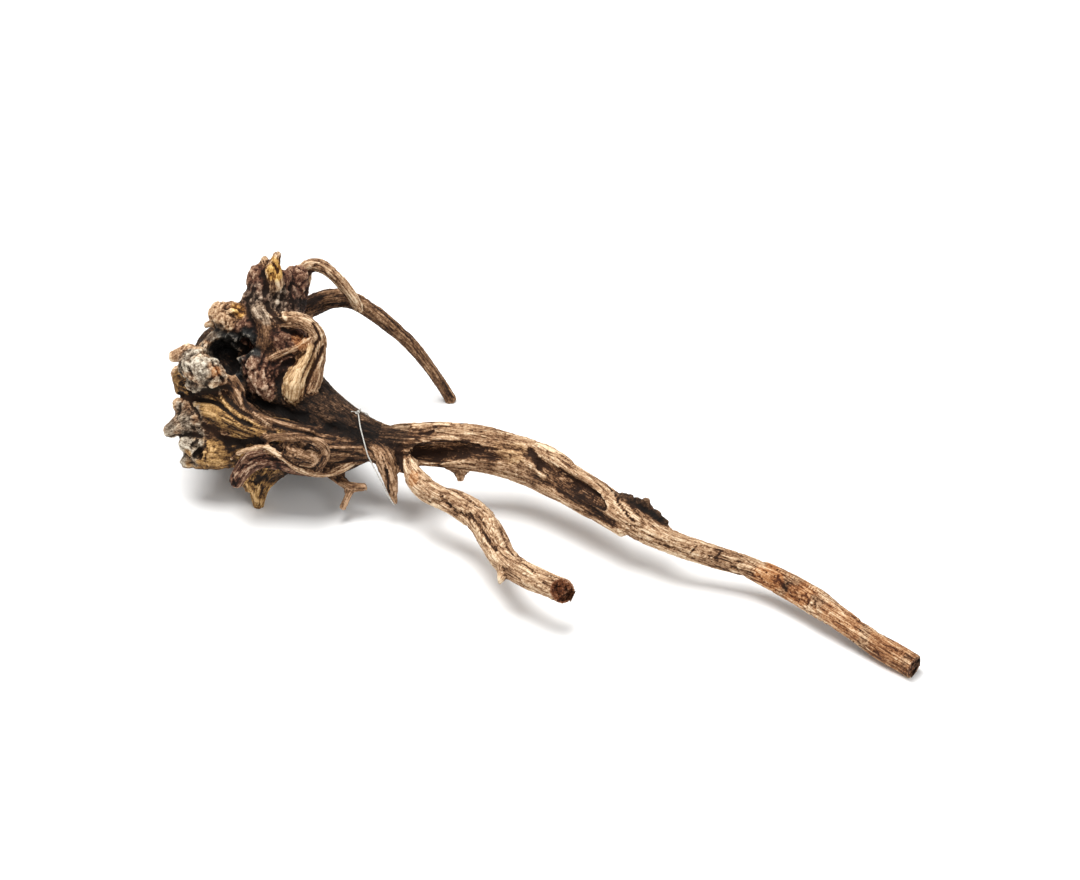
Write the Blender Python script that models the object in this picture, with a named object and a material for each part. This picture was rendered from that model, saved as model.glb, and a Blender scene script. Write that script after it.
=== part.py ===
"""A dry tree root lying on a surface: a gnarled crown, one long main root, a short front root and thin ones.

The root grew in one piece, so it is one closed solid. It is laid out as strands of wood: smooth runs through
a few points, each with its own radius, fused into one body and then hollowed, sawn at the ends and set on the
floor. All strand points are in millimetres: +X along the main root, +Y away from the front, +Z up, floor at
Z = 0.
"""

import math

import bmesh
import bpy
from mathutils import Matrix, Vector, geometry

MM = 0.001

# Driving dimensions
GRAIN_OF_FORM = 2.0 * MM        # size of the cells in which the strands are fused
ROOT_TRIANGLES = 10400          # triangles left on the fused body
TUBE_ROUNDNESS = 3              # bevel resolution of a strand
KNOB_RINGS = 12                 # rings of a rounded end
LUMP_SIZE = 13.0 * MM           # spacing of the lumps on the crown
LUMP_HEIGHT = 3.4 * MM          # height of the lumps on the crown
LUMP_DETAIL = 1                 # finer layers of lumps on top
LUMP_MIDDLE = 0.5               # the noise value that leaves the skin where it is
CROWN_EDGE_X = -128.0 * MM      # the lumps stop where the neck begins
CROWN_FADE = 26.0 * MM          # and fade over this length
EASE_SHARE = 0.5                # how far each easing round moves a point towards its neighbours
EASE_ROUNDS = 2
SLIVER = 0.05 * MM              # edges shorter than this are dissolved after sawing

# Saw cuts: a point of the cut in millimetres, and its turn about Z (and tilt about Y)
LONG_END = (217.0, -128.0, 8.0)
LONG_END_TURN = math.radians(-41.0)
SHORT_END = (13.0, -86.0, 30.0)
SHORT_END_TURN = math.radians(-56.0)
SHORT_END_TILT = math.radians(-24.0)
SAW_BLOCK = (60.0, 60.0, 60.0)          # the block that takes a sawn end away, mm
FLOOR_BLOCK = (60.0, 900.0, 900.0)      # the block that levels the feet, mm

# Thin line tied round the neck
LINE_RADIUS = 0.55
LINE_MIDDLE = (-106.0, 46.0, 45.0)      # a point inside the neck, mm
LINE_TIP = (14.0, -26.0, -28.0)         # from there towards the splinter's tip
LINE_ROOT = (0.90, -0.42, -0.06)        # roughly along the root
LINE_START = 60.0 * MM                  # the bark is felt for from this far out
LINE_ROUNDNESS = 2                      # bevel resolution of the line
LINE_GAP = 0.60                 # clear space between the line and the bark
LINE_RAYS = 120                 # directions in which the bark is felt for
LINE_SIDES = 16                 # corners of the clear ring kept round each felt point
LINE_SWAY = 1.0 * MM            # and how far to either side

# Finish of each node: colour (linear), roughness, metallic
ROOT_COLOUR = (0.235, 0.135, 0.070, 1.0)
ROOT_ROUGHNESS = 0.82
LINE_COLOUR = (0.78, 0.77, 0.74, 1.0)
LINE_ROUGHNESS = 0.30


def clear_scene():
    """Remove every object of the scene."""
    for thing in list(bpy.data.objects):
        bpy.data.objects.remove(thing, do_unlink=True)


def neck_and_main_root():
    """The long root: it leaves the crown at the neck and ends in a saw cut near the floor."""
    return [
        # the core, from inside the neck to past the saw cut
        [(-124, 55, 47, 12.5), (-106, 47, 45, 12.5), (-88, 43, 45, 12.0), (-69, 43, 44, 11.5),
         (-44, 41, 42, 12.0), (-19, 37, 40, 12.5), (6, 24, 38, 11.5), (31, 4, 35, 10.0),
         (55, -18, 32, 9.2), (79, -35, 28, 8.2), (103, -43, 24, 7.2), (127, -51, 20, 6.6),
         (150, -66, 17, 7.8), (172, -87, 14, 7.6), (194, -107, 10, 7.2), (228, -138, 5.6, 7.0)],
        # upper lip of the long hollows
        [(-90, 46, 52, 6.0), (-60, 46, 52, 6.5), (-28, 42, 50, 6.5), (0, 30, 48, 6.5),
         (26, 10, 43, 5.5), (46, -8, 37, 5.0)],
        # lower lip of the long hollows
        [(-86, 36, 40, 6.0), (-56, 35, 38, 6.2), (-24, 30, 35, 6.2), (4, 15, 33, 5.8),
         (28, -6, 31, 5.0), (50, -25, 29, 4.4)],
        # rib that crosses the hollows
        [(2, 24, 47, 4.5), (18, 8, 42, 4.6), (38, -12, 37, 4.6), (60, -28, 31, 4.5), (80, -39, 26, 3.5)],
        # bump under the root
        [(-54, 40, 36, 9.0), (-50, 35, 31, 6.5), (-50, 33, 27, 3.5)],
        # decayed burr on the top edge
        [(46, -6, 40, 4.0), (62, -14, 38, 4.2), (78, -24, 35, 3.6), (90, -32, 31, 2.6)],
    ]


def front_root():
    """The short root that lies across the front: pinched start, blunt sawn end held clear of the floor."""
    return [
        [(-89, 46, 46, 3.4), (-84, 33, 41, 5.2), (-77, 16, 38, 6.8), (-65, 4, 35, 8.0), (-50, -5, 33, 8.6),
         (-37, -18, 32, 9.0), (-28, -37, 31, 9.0), (-21, -55, 30, 8.6), (-11, -68, 30, 8.0),
         (3, -79, 30, 7.6), (24, -93, 30, 7.2)],
        [(-21, -64, 29, 5.0), (-24, -72, 26, 2.0)],
    ]


def thin_root():
    """The thin root at the back that arches out of the crown and comes down to the floor."""
    return [
        [(-168, 136, 78, 9.0), (-148, 152, 82, 7.2), (-135, 154, 85, 6.4), (-123, 155, 82, 5.6),
         (-112, 156, 74, 5.6), (-100, 157, 62, 5.4), (-87, 158, 47, 4.9), (-74, 158, 27, 4.4),
         (-67, 158, 14, 4.2), (-61, 158, 2, 4.0)],
    ]


def twig():
    """The bent twig over the thin root; its end hangs clear of it."""
    return [
        [(-160, 140, 90, 6.0), (-153, 142, 104, 4.6), (-150, 142, 116, 4.8), (-142, 141, 117, 5.4),
         (-135, 139, 113, 5.0), (-129, 138, 106, 4.6), (-123, 137, 97, 4.2), (-118, 136, 88, 3.6)],
    ]


def trunk():
    """The body of the crown, from its middle down to the neck."""
    return [
        [(-192, 100, 62, 34.0), (-178, 94, 56, 34.0), (-160, 82, 52, 29.0), (-142, 68, 49, 21.5),
         (-124, 56, 47, 16.0), (-104, 46, 45, 13.0)],
        # dark shoulder behind the burl
        [(-108, 51, 48, 6.5), (-122, 69, 47, 8.0), (-138, 88, 47, 11.0), (-158, 106, 50, 16.5),
         (-175, 120, 58, 24.0)],
    ]


def crown_top():
    """The tall lobe with its knobs and the split, splintered tip."""
    return [
        [(-170, 104, 76, 24.0), (-170, 110, 98, 21.0), (-170, 113, 114, 16.5), (-170, 113, 122, 11.0)],
        [(-176, 103, 114, 11.0), (-178, 106, 125, 8.6), (-178, 108, 131, 6.6)],
        [(-176, 99, 106, 10.0), (-183, 99, 114, 6.4), (-185, 101, 119, 4.6)],
        [(-169, 105, 125, 7.5), (-168, 106, 135, 6.4), (-165, 108, 144, 3.4)],
        [(-170, 113, 120, 7.0), (-172, 112, 132, 5.2), (-174, 112, 139, 3.0)],
        [(-164, 121, 99, 14.0), (-158, 126, 109, 10.6), (-156, 128, 117, 8.0)],
    ]


def burl():
    """The big swollen lobe that overhangs the neck, with a rolled rim on its right."""
    return [
        # rolled rim
        [(-176, 94, 107, 5.7), (-163, 88, 109, 5.7), (-151, 83, 112, 5.3), (-143, 81, 108, 5.3),
         (-139, 79, 101, 5.3),
         (-139, 77, 92, 5.0), (-141, 74, 84, 5.0), (-143, 70, 76, 5.4), (-147, 66, 69, 5.7),
         (-153, 63, 65, 5.1)],
        # smooth tongue
        [(-145, 77, 103, 2.8), (-145, 74, 96, 3.8), (-148, 71, 89, 4.7), (-152, 68, 83, 6.3),
         (-155, 65, 76, 7.9),
         (-156, 63, 70, 7.6)],
        # sunken patch, the ridge below it, and the heart
        [(-162, 86, 97, 11.4), (-156, 84, 94, 10.7)],
        [(-179, 75, 84, 2.5), (-170, 75, 89, 2.5), (-160, 75, 94, 2.5), (-151, 75, 98, 2.5),
         (-145, 76, 103, 2.5)],
        [(-161, 80, 77, 12.7), (-159, 74, 67, 12.0), (-160, 70, 61, 9.5)],
        # crusted left part and the column above it
        [(-182, 84, 87, 10.5), (-177, 77, 80, 12.0), (-175, 71, 71, 11.5), (-167, 66, 62, 8.5)],
        [(-178, 92, 113, 5.7), (-173, 86, 106, 6.3), (-173, 82, 98, 5.7), (-177, 80, 90, 4.4)],
    ]


def left_knobs():
    """The weathered knobs and stubs on the left of the crown."""
    return [
        # fan of fibres from the left knobs to the neck
        [(-211, 52, 63, 5.0), (-198, 48, 60, 7.5), (-182, 43, 57, 9.4), (-160, 39, 53, 11.3),
         (-138, 38, 47, 11.9),
         (-120, 40, 44, 10.7), (-103, 42, 41, 8.2)],
        [(-198, 62, 86, 5.6), (-192, 58, 79, 5.0), (-187, 52, 73, 4.4), (-181, 46, 68, 4.4),
         (-171, 41, 65, 4.4),
         (-160, 38, 61, 5.0), (-144, 36, 58, 5.6)],
        [(-225, 70, 71, 3.8), (-213, 62, 71, 4.4), (-202, 56, 71, 4.4), (-193, 50, 68, 4.7),
         (-183, 45, 64, 5.0),
         (-171, 41, 60, 5.0), (-156, 38, 56, 5.6)],
        [(-214, 54, 65, 5.0), (-204, 49, 66, 5.3), (-195, 44, 64, 5.6), (-184, 40, 60, 5.6),
         (-171, 36, 58, 5.6)],
        # upper grey knob and its horns
        [(-201, 64, 81, 9.4), (-206, 60, 88, 10.0), (-212, 60, 91, 11.2), (-218, 64, 92, 8.8)],
        [(-209, 58, 81, 5.6), (-217, 60, 79, 5.6)],
        [(-214, 69, 92, 8.0), (-222, 71, 96, 5.0), (-230, 72, 92, 4.0)],
        [(-218, 70, 82, 7.0), (-227, 73, 76, 5.2), (-228, 72, 67, 4.0)],
        # long stub and knuckle in the middle
        [(-193, 52, 52, 12.0), (-208, 53, 55, 10.0), (-221, 54, 56, 8.4), (-230, 54, 51, 6.4),
         (-234, 54, 48, 5.2)],
        [(-208, 60, 60, 10.0), (-218, 61, 63, 7.0), (-228, 62, 62, 5.0)],
        # low blunt stub
        [(-186, 48, 40, 13.0), (-202, 45, 39, 12.0), (-214, 44, 41, 10.4), (-222, 46, 43, 6.6)],
        [(-204, 45, 35, 8.5), (-216, 43, 33, 6.4), (-223, 42, 32, 4.8)],
    ]


def upper_left_shelf():
    """The shelf above the charred hollow and the thin wall at the hollow's left."""
    return [
        [(-178, 94, 90, 17.0), (-188, 95, 102, 12.5), (-196, 96, 109, 9.0), (-202, 96, 111, 6.6)],
        [(-194, 92, 104, 8.5), (-202, 93, 108, 6.4), (-206, 94, 109, 4.8)],
        [(-200, 96, 104, 5.0), (-207, 98, 101, 3.0), (-212, 98, 99, 2.2)],
        [(-199, 92, 98, 7.0), (-207, 85, 94, 5.6), (-210, 78, 89, 6.2), (-207, 71, 84, 7.0)],
    ]


def crown_bottom():
    """The claw, the spike that stands on the floor, the eye knot and the small roots under the neck."""
    return [
        # claw-like arm
        [(-137, 27, 36, 5.0), (-150, 25, 41, 6.0), (-165, 25, 47, 7.4), (-178, 25, 46, 7.4),
         (-185, 23, 40, 6.2),
         (-190, 22, 32, 5.2)],
        # spike with its web
        [(-166, 42, 36, 12.0), (-175, 39, 24, 8.6), (-179, 38, 12, 5.6), (-180, 38, 1, 3.6)],
        [(-184, 40, 36, 9.0), (-186, 37, 24, 5.4), (-185, 36, 16, 3.0)],
        # eye knot and the fold round it
        [(-152, 24, 53, 8.1), (-142, 21, 51, 6.2)],
        [(-173, 28, 59, 2.5), (-163, 24, 64, 2.5), (-153, 22, 65, 2.8), (-143, 20, 65, 2.8),
         (-135, 20, 61, 2.8),
         (-133, 22, 51, 2.8), (-137, 22, 43, 2.8)],
        # belly
        [(-166, 56, 24, 9.0), (-144, 48, 25, 7.4), (-127, 43, 29, 6.2), (-112, 43, 36, 5.4)],
        # splinter that hangs below the neck
        [(-107, 38, 46, 7.0), (-99, 31, 45, 8.0), (-95, 25, 37, 6.4), (-93, 21, 28, 4.4), (-91, 20, 17, 2.2)],
        # stub and hooked twig
        [(-136, 42, 29, 4.8), (-127, 35, 24, 4.0), (-119, 28, 23, 3.4), (-111, 26, 24, 3.0)],
        [(-118, 28, 23, 2.8), (-121, 25, 18, 2.8), (-124, 22, 12, 2.8)],
    ]


def crown_back():
    """The broken stubs on the far side of the crown and the heel it stands on."""
    return [
        [(-186, 112, 40, 26.0), (-196, 124, 20, 18.0), (-202, 132, 2, 11.0)],
        [(-180, 118, 70, 22.0), (-172, 140, 74, 15.0), (-166, 156, 78, 8.5)],
        [(-176, 118, 40, 22.0), (-162, 142, 34, 13.0), (-154, 156, 30, 7.5)],
        [(-194, 108, 64, 24.0), (-208, 126, 60, 14.0), (-216, 140, 58, 8.0)],
        [(-200, 98, 50, 22.0), (-220, 112, 46, 14.0), (-234, 122, 44, 8.0)],
        [(-196, 84, 34, 20.0), (-214, 88, 22, 12.0), (-226, 92, 14, 7.5)],
        [(-176, 122, 90, 15.0), (-174, 136, 96, 9.0), (-170, 146, 100, 5.5)],
        [(-204, 78, 62, 16.0), (-222, 86, 64, 10.0), (-232, 92, 66, 6.0)],
    ]


def hollows():
    """The spaces taken out of the fused wood: the charred hollow, the long hollows, holes and slits."""
    return [
        # charred hollow, two lobes
        [(-205, 66, 104, 8.5), (-201, 76, 94, 9.0), (-198, 86, 84, 6.0)],
        [(-188, 66, 108, 7.0), (-187, 76, 98, 7.5), (-188, 86, 88, 5.0)],
        [(-196, 66, 88, 7.0), (-196, 76, 82, 6.5), (-194, 84, 78, 4.0)],
        [(-193, 56, 98, 5.0), (-190, 56, 89, 5.0), (-187, 54, 82, 3.1)],
        # long hollow along the main root
        [(-76, 34, 45, 5.0), (-66, 33, 45, 6.3), (-53, 32, 47, 6.3), (-41, 30, 48, 5.0), (-28, 27, 47, 3.7),
         (-16, 23, 45, 2.2)],
        # second long hollow
        [(-6, 22, 54, 2.8), (0, 17, 49, 5.0), (9, 10, 46, 5.6), (20, 3, 43, 5.5), (31, -6, 41, 4.6),
         (40, -16, 38, 2.4)],
        # eye of the burl
        [(-163, 66, 89, 2.8), (-158, 67, 90, 3.1), (-153, 67, 92, 2.8)],
        # two holes of the low grey stub
        [(-217, 30, 51, 3.0), (-216, 38, 46, 3.0)],
        [(-215, 30, 45, 3.0), (-214, 38, 40, 3.0)],
        # recess between the flank and the claw
        [(-196, 32, 56, 2.5), (-186, 28, 58, 3.7), (-176, 26, 59, 3.1)],
        # cleft between the long stub and the low stub
        [(-212, 44, 60, 2.3), (-205, 38, 59, 2.6), (-197, 32, 58, 2.5)],
    ]


def strand_mesh(points):
    """One strand as a closed tube with rounded ends, given as (x, y, z, radius) points in millimetres."""
    curve = bpy.data.curves.new("strand", "CURVE")
    curve.dimensions = "3D"
    curve.bevel_depth = MM
    curve.bevel_resolution = TUBE_ROUNDNESS
    curve.use_fill_caps = True
    spline = curve.splines.new("BEZIER")
    spline.bezier_points.add(len(points) - 1)
    for knot, (x, y, z, radius) in zip(spline.bezier_points, points):
        knot.co = Vector((x, y, z)) * MM
        knot.radius = radius
        knot.handle_left_type = "AUTO"
        knot.handle_right_type = "AUTO"
    holder = bpy.data.objects.new("strand", curve)
    bpy.context.scene.collection.objects.link(holder)
    mesh = bpy.data.meshes.new_from_object(holder.evaluated_get(bpy.context.evaluated_depsgraph_get()))
    bpy.data.objects.remove(holder, do_unlink=True)
    return mesh


def ball_mesh(x, y, z, radius):
    """A ball that rounds the end of a strand, in millimetres."""
    shape = bmesh.new()
    bmesh.ops.create_uvsphere(shape, u_segments=2 * KNOB_RINGS, v_segments=KNOB_RINGS, radius=radius * MM,
                              matrix=Matrix.Translation(Vector((x, y, z)) * MM))
    mesh = bpy.data.meshes.new("ball")
    shape.to_mesh(mesh)
    shape.free()
    return mesh


def fuse(name, strands):
    """Join strands and the balls at their ends into one object, as one skin of equal cells."""
    shape = bmesh.new()
    for points in strands:
        shape.from_mesh(strand_mesh(points))
        shape.from_mesh(ball_mesh(*points[0]))
        shape.from_mesh(ball_mesh(*points[-1]))
    thing = object_from(name, shape)
    skin = thing.modifiers.new("skin", "REMESH")
    skin.mode = "VOXEL"
    skin.voxel_size = GRAIN_OF_FORM
    skin.adaptivity = 0.0
    apply_modifiers(thing)
    return thing


def object_from(name, shape):
    """Turn a bmesh into a linked object and free the bmesh."""
    mesh = bpy.data.meshes.new(name)
    shape.to_mesh(mesh)
    shape.free()
    thing = bpy.data.objects.new(name, mesh)
    bpy.context.scene.collection.objects.link(thing)
    return thing


def apply_modifiers(thing):
    """Replace an object's mesh by the one its modifiers make."""
    bpy.context.view_layer.update()
    made = bpy.data.meshes.new_from_object(thing.evaluated_get(bpy.context.evaluated_depsgraph_get()))
    thing.modifiers.clear()
    thing.data = made


def cut(thing, cutter):
    """Take a cutter out of a thing and remove the cutter."""
    taking = thing.modifiers.new("cut", "BOOLEAN")
    taking.operation = "DIFFERENCE"
    taking.solver = "EXACT"
    taking.object = cutter
    apply_modifiers(thing)
    bpy.data.objects.remove(cutter, do_unlink=True)


def block(centre, turn, size):
    """A block whose near face passes through a point: centre and size in millimetres, turn about Z."""
    shape = bmesh.new()
    bmesh.ops.create_cube(shape, size=1.0)
    bmesh.ops.translate(shape, verts=shape.verts, vec=(0.5, 0.0, 0.0))
    bmesh.ops.scale(shape, verts=shape.verts, vec=Vector(size) * MM)
    bmesh.ops.rotate(shape, verts=shape.verts, matrix=turn)
    bmesh.ops.translate(shape, verts=shape.verts, vec=Vector(centre) * MM)
    return object_from("block", shape)


def lump_the_crown(root):
    """Raise uneven lumps on the crown, fading out towards the neck."""
    group = root.vertex_groups.new(name="crown")
    for vertex in root.data.vertices:
        share = min(1.0, max(0.0, (CROWN_EDGE_X - vertex.co.x) / CROWN_FADE))
        group.add([vertex.index], share, "REPLACE")
    lumps = bpy.data.textures.new("lumps", "CLOUDS")
    lumps.noise_scale = LUMP_SIZE
    lumps.noise_depth = LUMP_DETAIL
    raising = root.modifiers.new("lumps", "DISPLACE")
    raising.texture = lumps
    raising.texture_coords = "GLOBAL"
    raising.strength = LUMP_HEIGHT
    raising.mid_level = LUMP_MIDDLE
    raising.vertex_group = group.name
    apply_modifiers(root)


def refine(root):
    """Make the skin even after the hollows are cut, ease it and bring it down to its triangle count."""
    skin = root.modifiers.new("skin", "REMESH")
    skin.mode = "VOXEL"
    skin.voxel_size = GRAIN_OF_FORM
    ease = root.modifiers.new("ease", "SMOOTH")
    ease.factor = EASE_SHARE
    ease.iterations = EASE_ROUNDS
    apply_modifiers(root)
    thinning = root.modifiers.new("thinning", "DECIMATE")
    thinning.use_collapse_triangulate = True
    thinning.ratio = ROOT_TRIANGLES / (2.0 * len(root.data.polygons))
    apply_modifiers(root)


def saw_and_level(root):
    """Saw both cut ends flat and level the feet so that they stand on the floor."""
    cut(root, block(LONG_END, Matrix.Rotation(LONG_END_TURN, 3, "Z"), SAW_BLOCK))
    short_end = Matrix.Rotation(SHORT_END_TURN, 3, "Z") @ Matrix.Rotation(SHORT_END_TILT, 3, "Y")
    cut(root, block(SHORT_END, short_end, SAW_BLOCK))
    facing_down = Matrix.Rotation(math.pi / 2.0, 3, "Y")
    cut(root, block((0.0, 0.0, 0.0), facing_down, FLOOR_BLOCK))
    shape = bmesh.new()
    shape.from_mesh(root.data)
    bmesh.ops.dissolve_degenerate(shape, dist=SLIVER, edges=shape.edges)
    bmesh.ops.triangulate(shape, faces=shape.faces)
    shape.to_mesh(root.data)
    shape.free()


def tie_line(root):
    """A thin line pulled tight round the neck and its hanging splinter, just clear of the bark."""
    middle = Vector(LINE_MIDDLE) * MM
    towards_tip = Vector(LINE_TIP).normalized()
    along_root = Vector(LINE_ROOT)
    along_root = (along_root - along_root.dot(towards_tip) * towards_tip).normalized()
    across = along_root.cross(towards_tip)
    ring = [Matrix.Rotation(step * math.tau / LINE_SIDES, 2) @ Vector((1.0, 0.0)) for step in range(LINE_SIDES)]
    outline = []
    for step in range(LINE_RAYS):
        ray = Matrix.Rotation(step * math.tau / LINE_RAYS, 2) @ Vector((1.0, 0.0))
        outward = ray.x * towards_tip + ray.y * across
        for side in (-LINE_SWAY, 0.0, LINE_SWAY):
            hit, place, _, _ = root.ray_cast(middle + LINE_START * outward + side * along_root, -outward)
            if hit:
                bark = ray * (place - middle - side * along_root).length
                outline += [bark + (LINE_GAP + LINE_RADIUS) * MM * spoke for spoke in ring]
    tight = [outline[corner] for corner in geometry.convex_hull_2d(outline)]
    return closed_tube("tie_line", [middle + p.x * towards_tip + p.y * across for p in tight])


def closed_tube(name, points):
    """A round line that runs through the points and back to the first."""
    curve = bpy.data.curves.new(name, "CURVE")
    curve.dimensions = "3D"
    curve.bevel_depth = LINE_RADIUS * MM
    curve.bevel_resolution = LINE_ROUNDNESS
    spline = curve.splines.new("POLY")
    spline.points.add(len(points) - 1)
    for knot, place in zip(spline.points, points):
        knot.co = (*place, 1.0)
    spline.use_cyclic_u = True
    thing = bpy.data.objects.new(name, curve)
    bpy.context.scene.collection.objects.link(thing)
    return thing


def finish(thing, colour, roughness):
    """Give a node its own plain material."""
    material = bpy.data.materials.new(thing.name)
    material.use_nodes = True
    surface = material.node_tree.nodes["Principled BSDF"]
    surface.inputs["Base Color"].default_value = colour
    surface.inputs["Roughness"].default_value = roughness
    surface.inputs["Metallic"].default_value = 0.0
    thing.data.materials.clear()
    thing.data.materials.append(material)


def centre_on_floor(things, root):
    """Move the things together so that the root's box is centred on the origin in X and Y."""
    corners = [Vector(corner) for corner in root.bound_box]
    middle_x = (min(c.x for c in corners) + max(c.x for c in corners)) / 2.0
    middle_y = (min(c.y for c in corners) + max(c.y for c in corners)) / 2.0
    for thing in things:
        thing.data.transform(Matrix.Translation((-middle_x, -middle_y, 0.0)))


def main():
    """Build the root and its tie line."""
    clear_scene()
    wood = (neck_and_main_root() + front_root() + thin_root() + twig() + trunk() + crown_top() + burl()
            + left_knobs() + upper_left_shelf() + crown_bottom() + crown_back())
    root = fuse("dry_root", wood)
    lump_the_crown(root)
    cut(root, fuse("hollows", hollows()))
    refine(root)
    saw_and_level(root)
    root.data.shade_smooth()
    line = tie_line(root)
    centre_on_floor((root, line), root)
    finish(root, ROOT_COLOUR, ROOT_ROUGHNESS)
    finish(line, LINE_COLOUR, LINE_ROUGHNESS)


main()
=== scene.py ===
"""Looks of a dry tree root: a gnarled crown with one long root, a short front root, a thin root and a twig.

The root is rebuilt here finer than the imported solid, from the same strands of wood, and then carved:
fibres, flutes, lumps, cracks, ridges and holes are moves of its skin. Strand points are in millimetres,
+X along the long root, +Y away from the front, +Z up with the floor at Z = 0; the finished skin is moved
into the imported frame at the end.
"""

import logging
import math
from dataclasses import dataclass, field
from enum import Enum
from typing import Iterable, Sequence

import bmesh
import bpy
import numpy as np
from mathutils import Matrix, Vector, geometry
from mathutils.bvhtree import BVHTree


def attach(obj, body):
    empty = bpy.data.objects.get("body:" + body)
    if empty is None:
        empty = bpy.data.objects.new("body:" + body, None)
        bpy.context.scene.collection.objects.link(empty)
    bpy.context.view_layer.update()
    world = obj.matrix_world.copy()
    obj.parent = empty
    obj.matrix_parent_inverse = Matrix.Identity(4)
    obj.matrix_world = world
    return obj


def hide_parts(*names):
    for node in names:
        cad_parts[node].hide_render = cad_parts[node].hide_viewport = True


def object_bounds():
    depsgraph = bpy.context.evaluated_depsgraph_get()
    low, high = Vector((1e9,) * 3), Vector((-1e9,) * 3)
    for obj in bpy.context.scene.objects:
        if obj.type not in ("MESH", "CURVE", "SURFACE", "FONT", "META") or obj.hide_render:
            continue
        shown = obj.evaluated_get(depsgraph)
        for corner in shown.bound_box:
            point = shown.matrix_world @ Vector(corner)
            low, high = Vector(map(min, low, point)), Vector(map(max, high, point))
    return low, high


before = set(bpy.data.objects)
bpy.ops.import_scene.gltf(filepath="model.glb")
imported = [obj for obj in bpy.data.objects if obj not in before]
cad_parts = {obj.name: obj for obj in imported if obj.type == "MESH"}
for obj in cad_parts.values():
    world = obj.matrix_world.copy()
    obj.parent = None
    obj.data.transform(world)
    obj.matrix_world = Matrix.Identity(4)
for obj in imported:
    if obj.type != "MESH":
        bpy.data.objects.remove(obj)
CAD_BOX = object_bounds()

LOG = logging.getLogger("dry_root")
MM = 0.001
TINY = 1e-9
Point = tuple[float, float, float]
Knot = tuple[float, float, float, float]
Array = np.ndarray
Socket = bpy.types.NodeSocket


class Wood(Enum):
    """How the wood of a strand has aged, and which strands lie in painted shade; each is one finish of the
    skin.
    """

    BARE = "bare"            # barkless, tan, fibrous: the long and the front root
    BROWN = "brown"          # darker, still oily wood of the thin root and the neck
    GREY = "grey"            # sun and rain bleached knobs
    GNARLED = "gnarled"      # purple-brown burl skin
    OCHRE = "ochre"          # golden flank of the crown
    SHADE = "shade"          # painted shade under the burl and on the underside; also the dark decayed burr
    SMOOTH = "smooth"        # polished tan lobe of the burl


@dataclass(frozen=True)
class Strand:
    """One run of wood: the points it passes through with a radius at each, all in millimetres.

    Args:
        wood: how its surface has aged.
        knots: (x, y, z, radius) in millimetres.
        knobby: 0 for straight fibres, 1 for a surface without direction.
    """

    wood: Wood
    knots: tuple[Knot, ...]
    knobby: float = 0.0


@dataclass(frozen=True)
class Stroke:
    """A line drawn over the skin with a gouge or with wood filler.

    Args:
        points: (x, y, z) in millimetres.
        width: half width in millimetres.
        height: how far the skin rises, or sinks where negative, in millimetres.
        tone: how much lighter, or darker where negative, the line is; dark lines in grooves, recesses and
            under overhangs are partly painted shade.
    """

    points: tuple[Point, ...]
    width: float
    height: float
    tone: float = 0.0


@dataclass(frozen=True)
class Patch:
    """A round region of the skin with a finish of its own.

    Args:
        finish: name of the finish.
        centre: (x, y, z) in millimetres.
        radius: reach in millimetres.
        amount: share of the finish at the centre.
    """

    finish: str
    centre: Point
    radius: float
    amount: float = 1.0


# ----------------------------------------------------------------------------------------------------
# Noise and small vector tools
# ----------------------------------------------------------------------------------------------------

# Large odd numbers and shifts that scatter the bits of a cell's number, and the largest 32-bit number
PRIMES = (73856093, 19349663, 83492791, 2654435)
MIXERS = ((13, 1274126177), (16, 2246822519))
LAST_SHIFT = 15
WORD = 0xFFFFFFFF

# Combed noise: how far its weight falls towards the ends, and the gain that gives it its full range back
COMB_FALL = 0.9
COMB_GAIN = 2.2


def lattice(cell: Array, seed: int) -> Array:
    """A repeatable value between 0 and 1 for each whole-number cell.

    Args:
        cell: (N, 3) whole numbers.
        seed: picks one of many patterns.

    Returns:
        N values.
    """
    mixed = seed * PRIMES[3]
    for axis in range(3):
        mixed = mixed ^ (cell[:, axis] * PRIMES[axis])
    for shift, mixer in MIXERS:
        mixed = ((mixed ^ (mixed >> shift)) * mixer) & WORD
    return (mixed ^ (mixed >> LAST_SHIFT)) / WORD


def noise(points: Array, size: float, seed: int) -> Array:
    """Smooth noise between -1 and 1 whose lumps are about one size across.

    Args:
        points: (N, 3) places in millimetres.
        size: spacing of the lumps in millimetres.
        seed: picks one of many patterns.

    Returns:
        N values.
    """
    scaled = points / size
    cell = np.floor(scaled).astype(np.int64)
    part = scaled - cell
    ease = part * part * part * (part * (part * 6.0 - 15.0) + 10.0)
    total = np.zeros(len(points))
    for corner in np.ndindex(2, 2, 2):
        x, y, z = (ease[:, axis] if side else 1.0 - ease[:, axis] for axis, side in enumerate(corner))
        total += x * y * z * lattice(cell + np.array(corner), seed)
    return 2.0 * total - 1.0


def fibres(points: Array, along: Array, size: float, length: float, seed: int, taps: int = 9) -> Array:
    """Noise combed along a direction, so that its lumps become fibres or flutes.

    Args:
        points: (N, 3) places in millimetres.
        along: (N, 3) unit directions of the grain.
        size: width of a fibre in millimetres.
        length: half length over which a fibre is combed, in millimetres.
        seed: picks one of many patterns.
        taps: number of places averaged.

    Returns:
        N values, about -1 to 1.
    """
    total = np.zeros(len(points))
    weight = 0.0
    for tap in np.linspace(-1.0, 1.0, taps):
        share = 0.5 + 0.5 * math.cos(math.pi * tap * COMB_FALL)
        total += share * noise(points + along * (tap * length), size, seed)
        weight += share
    return np.clip(total / weight * COMB_GAIN, -1.0, 1.0)


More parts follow.
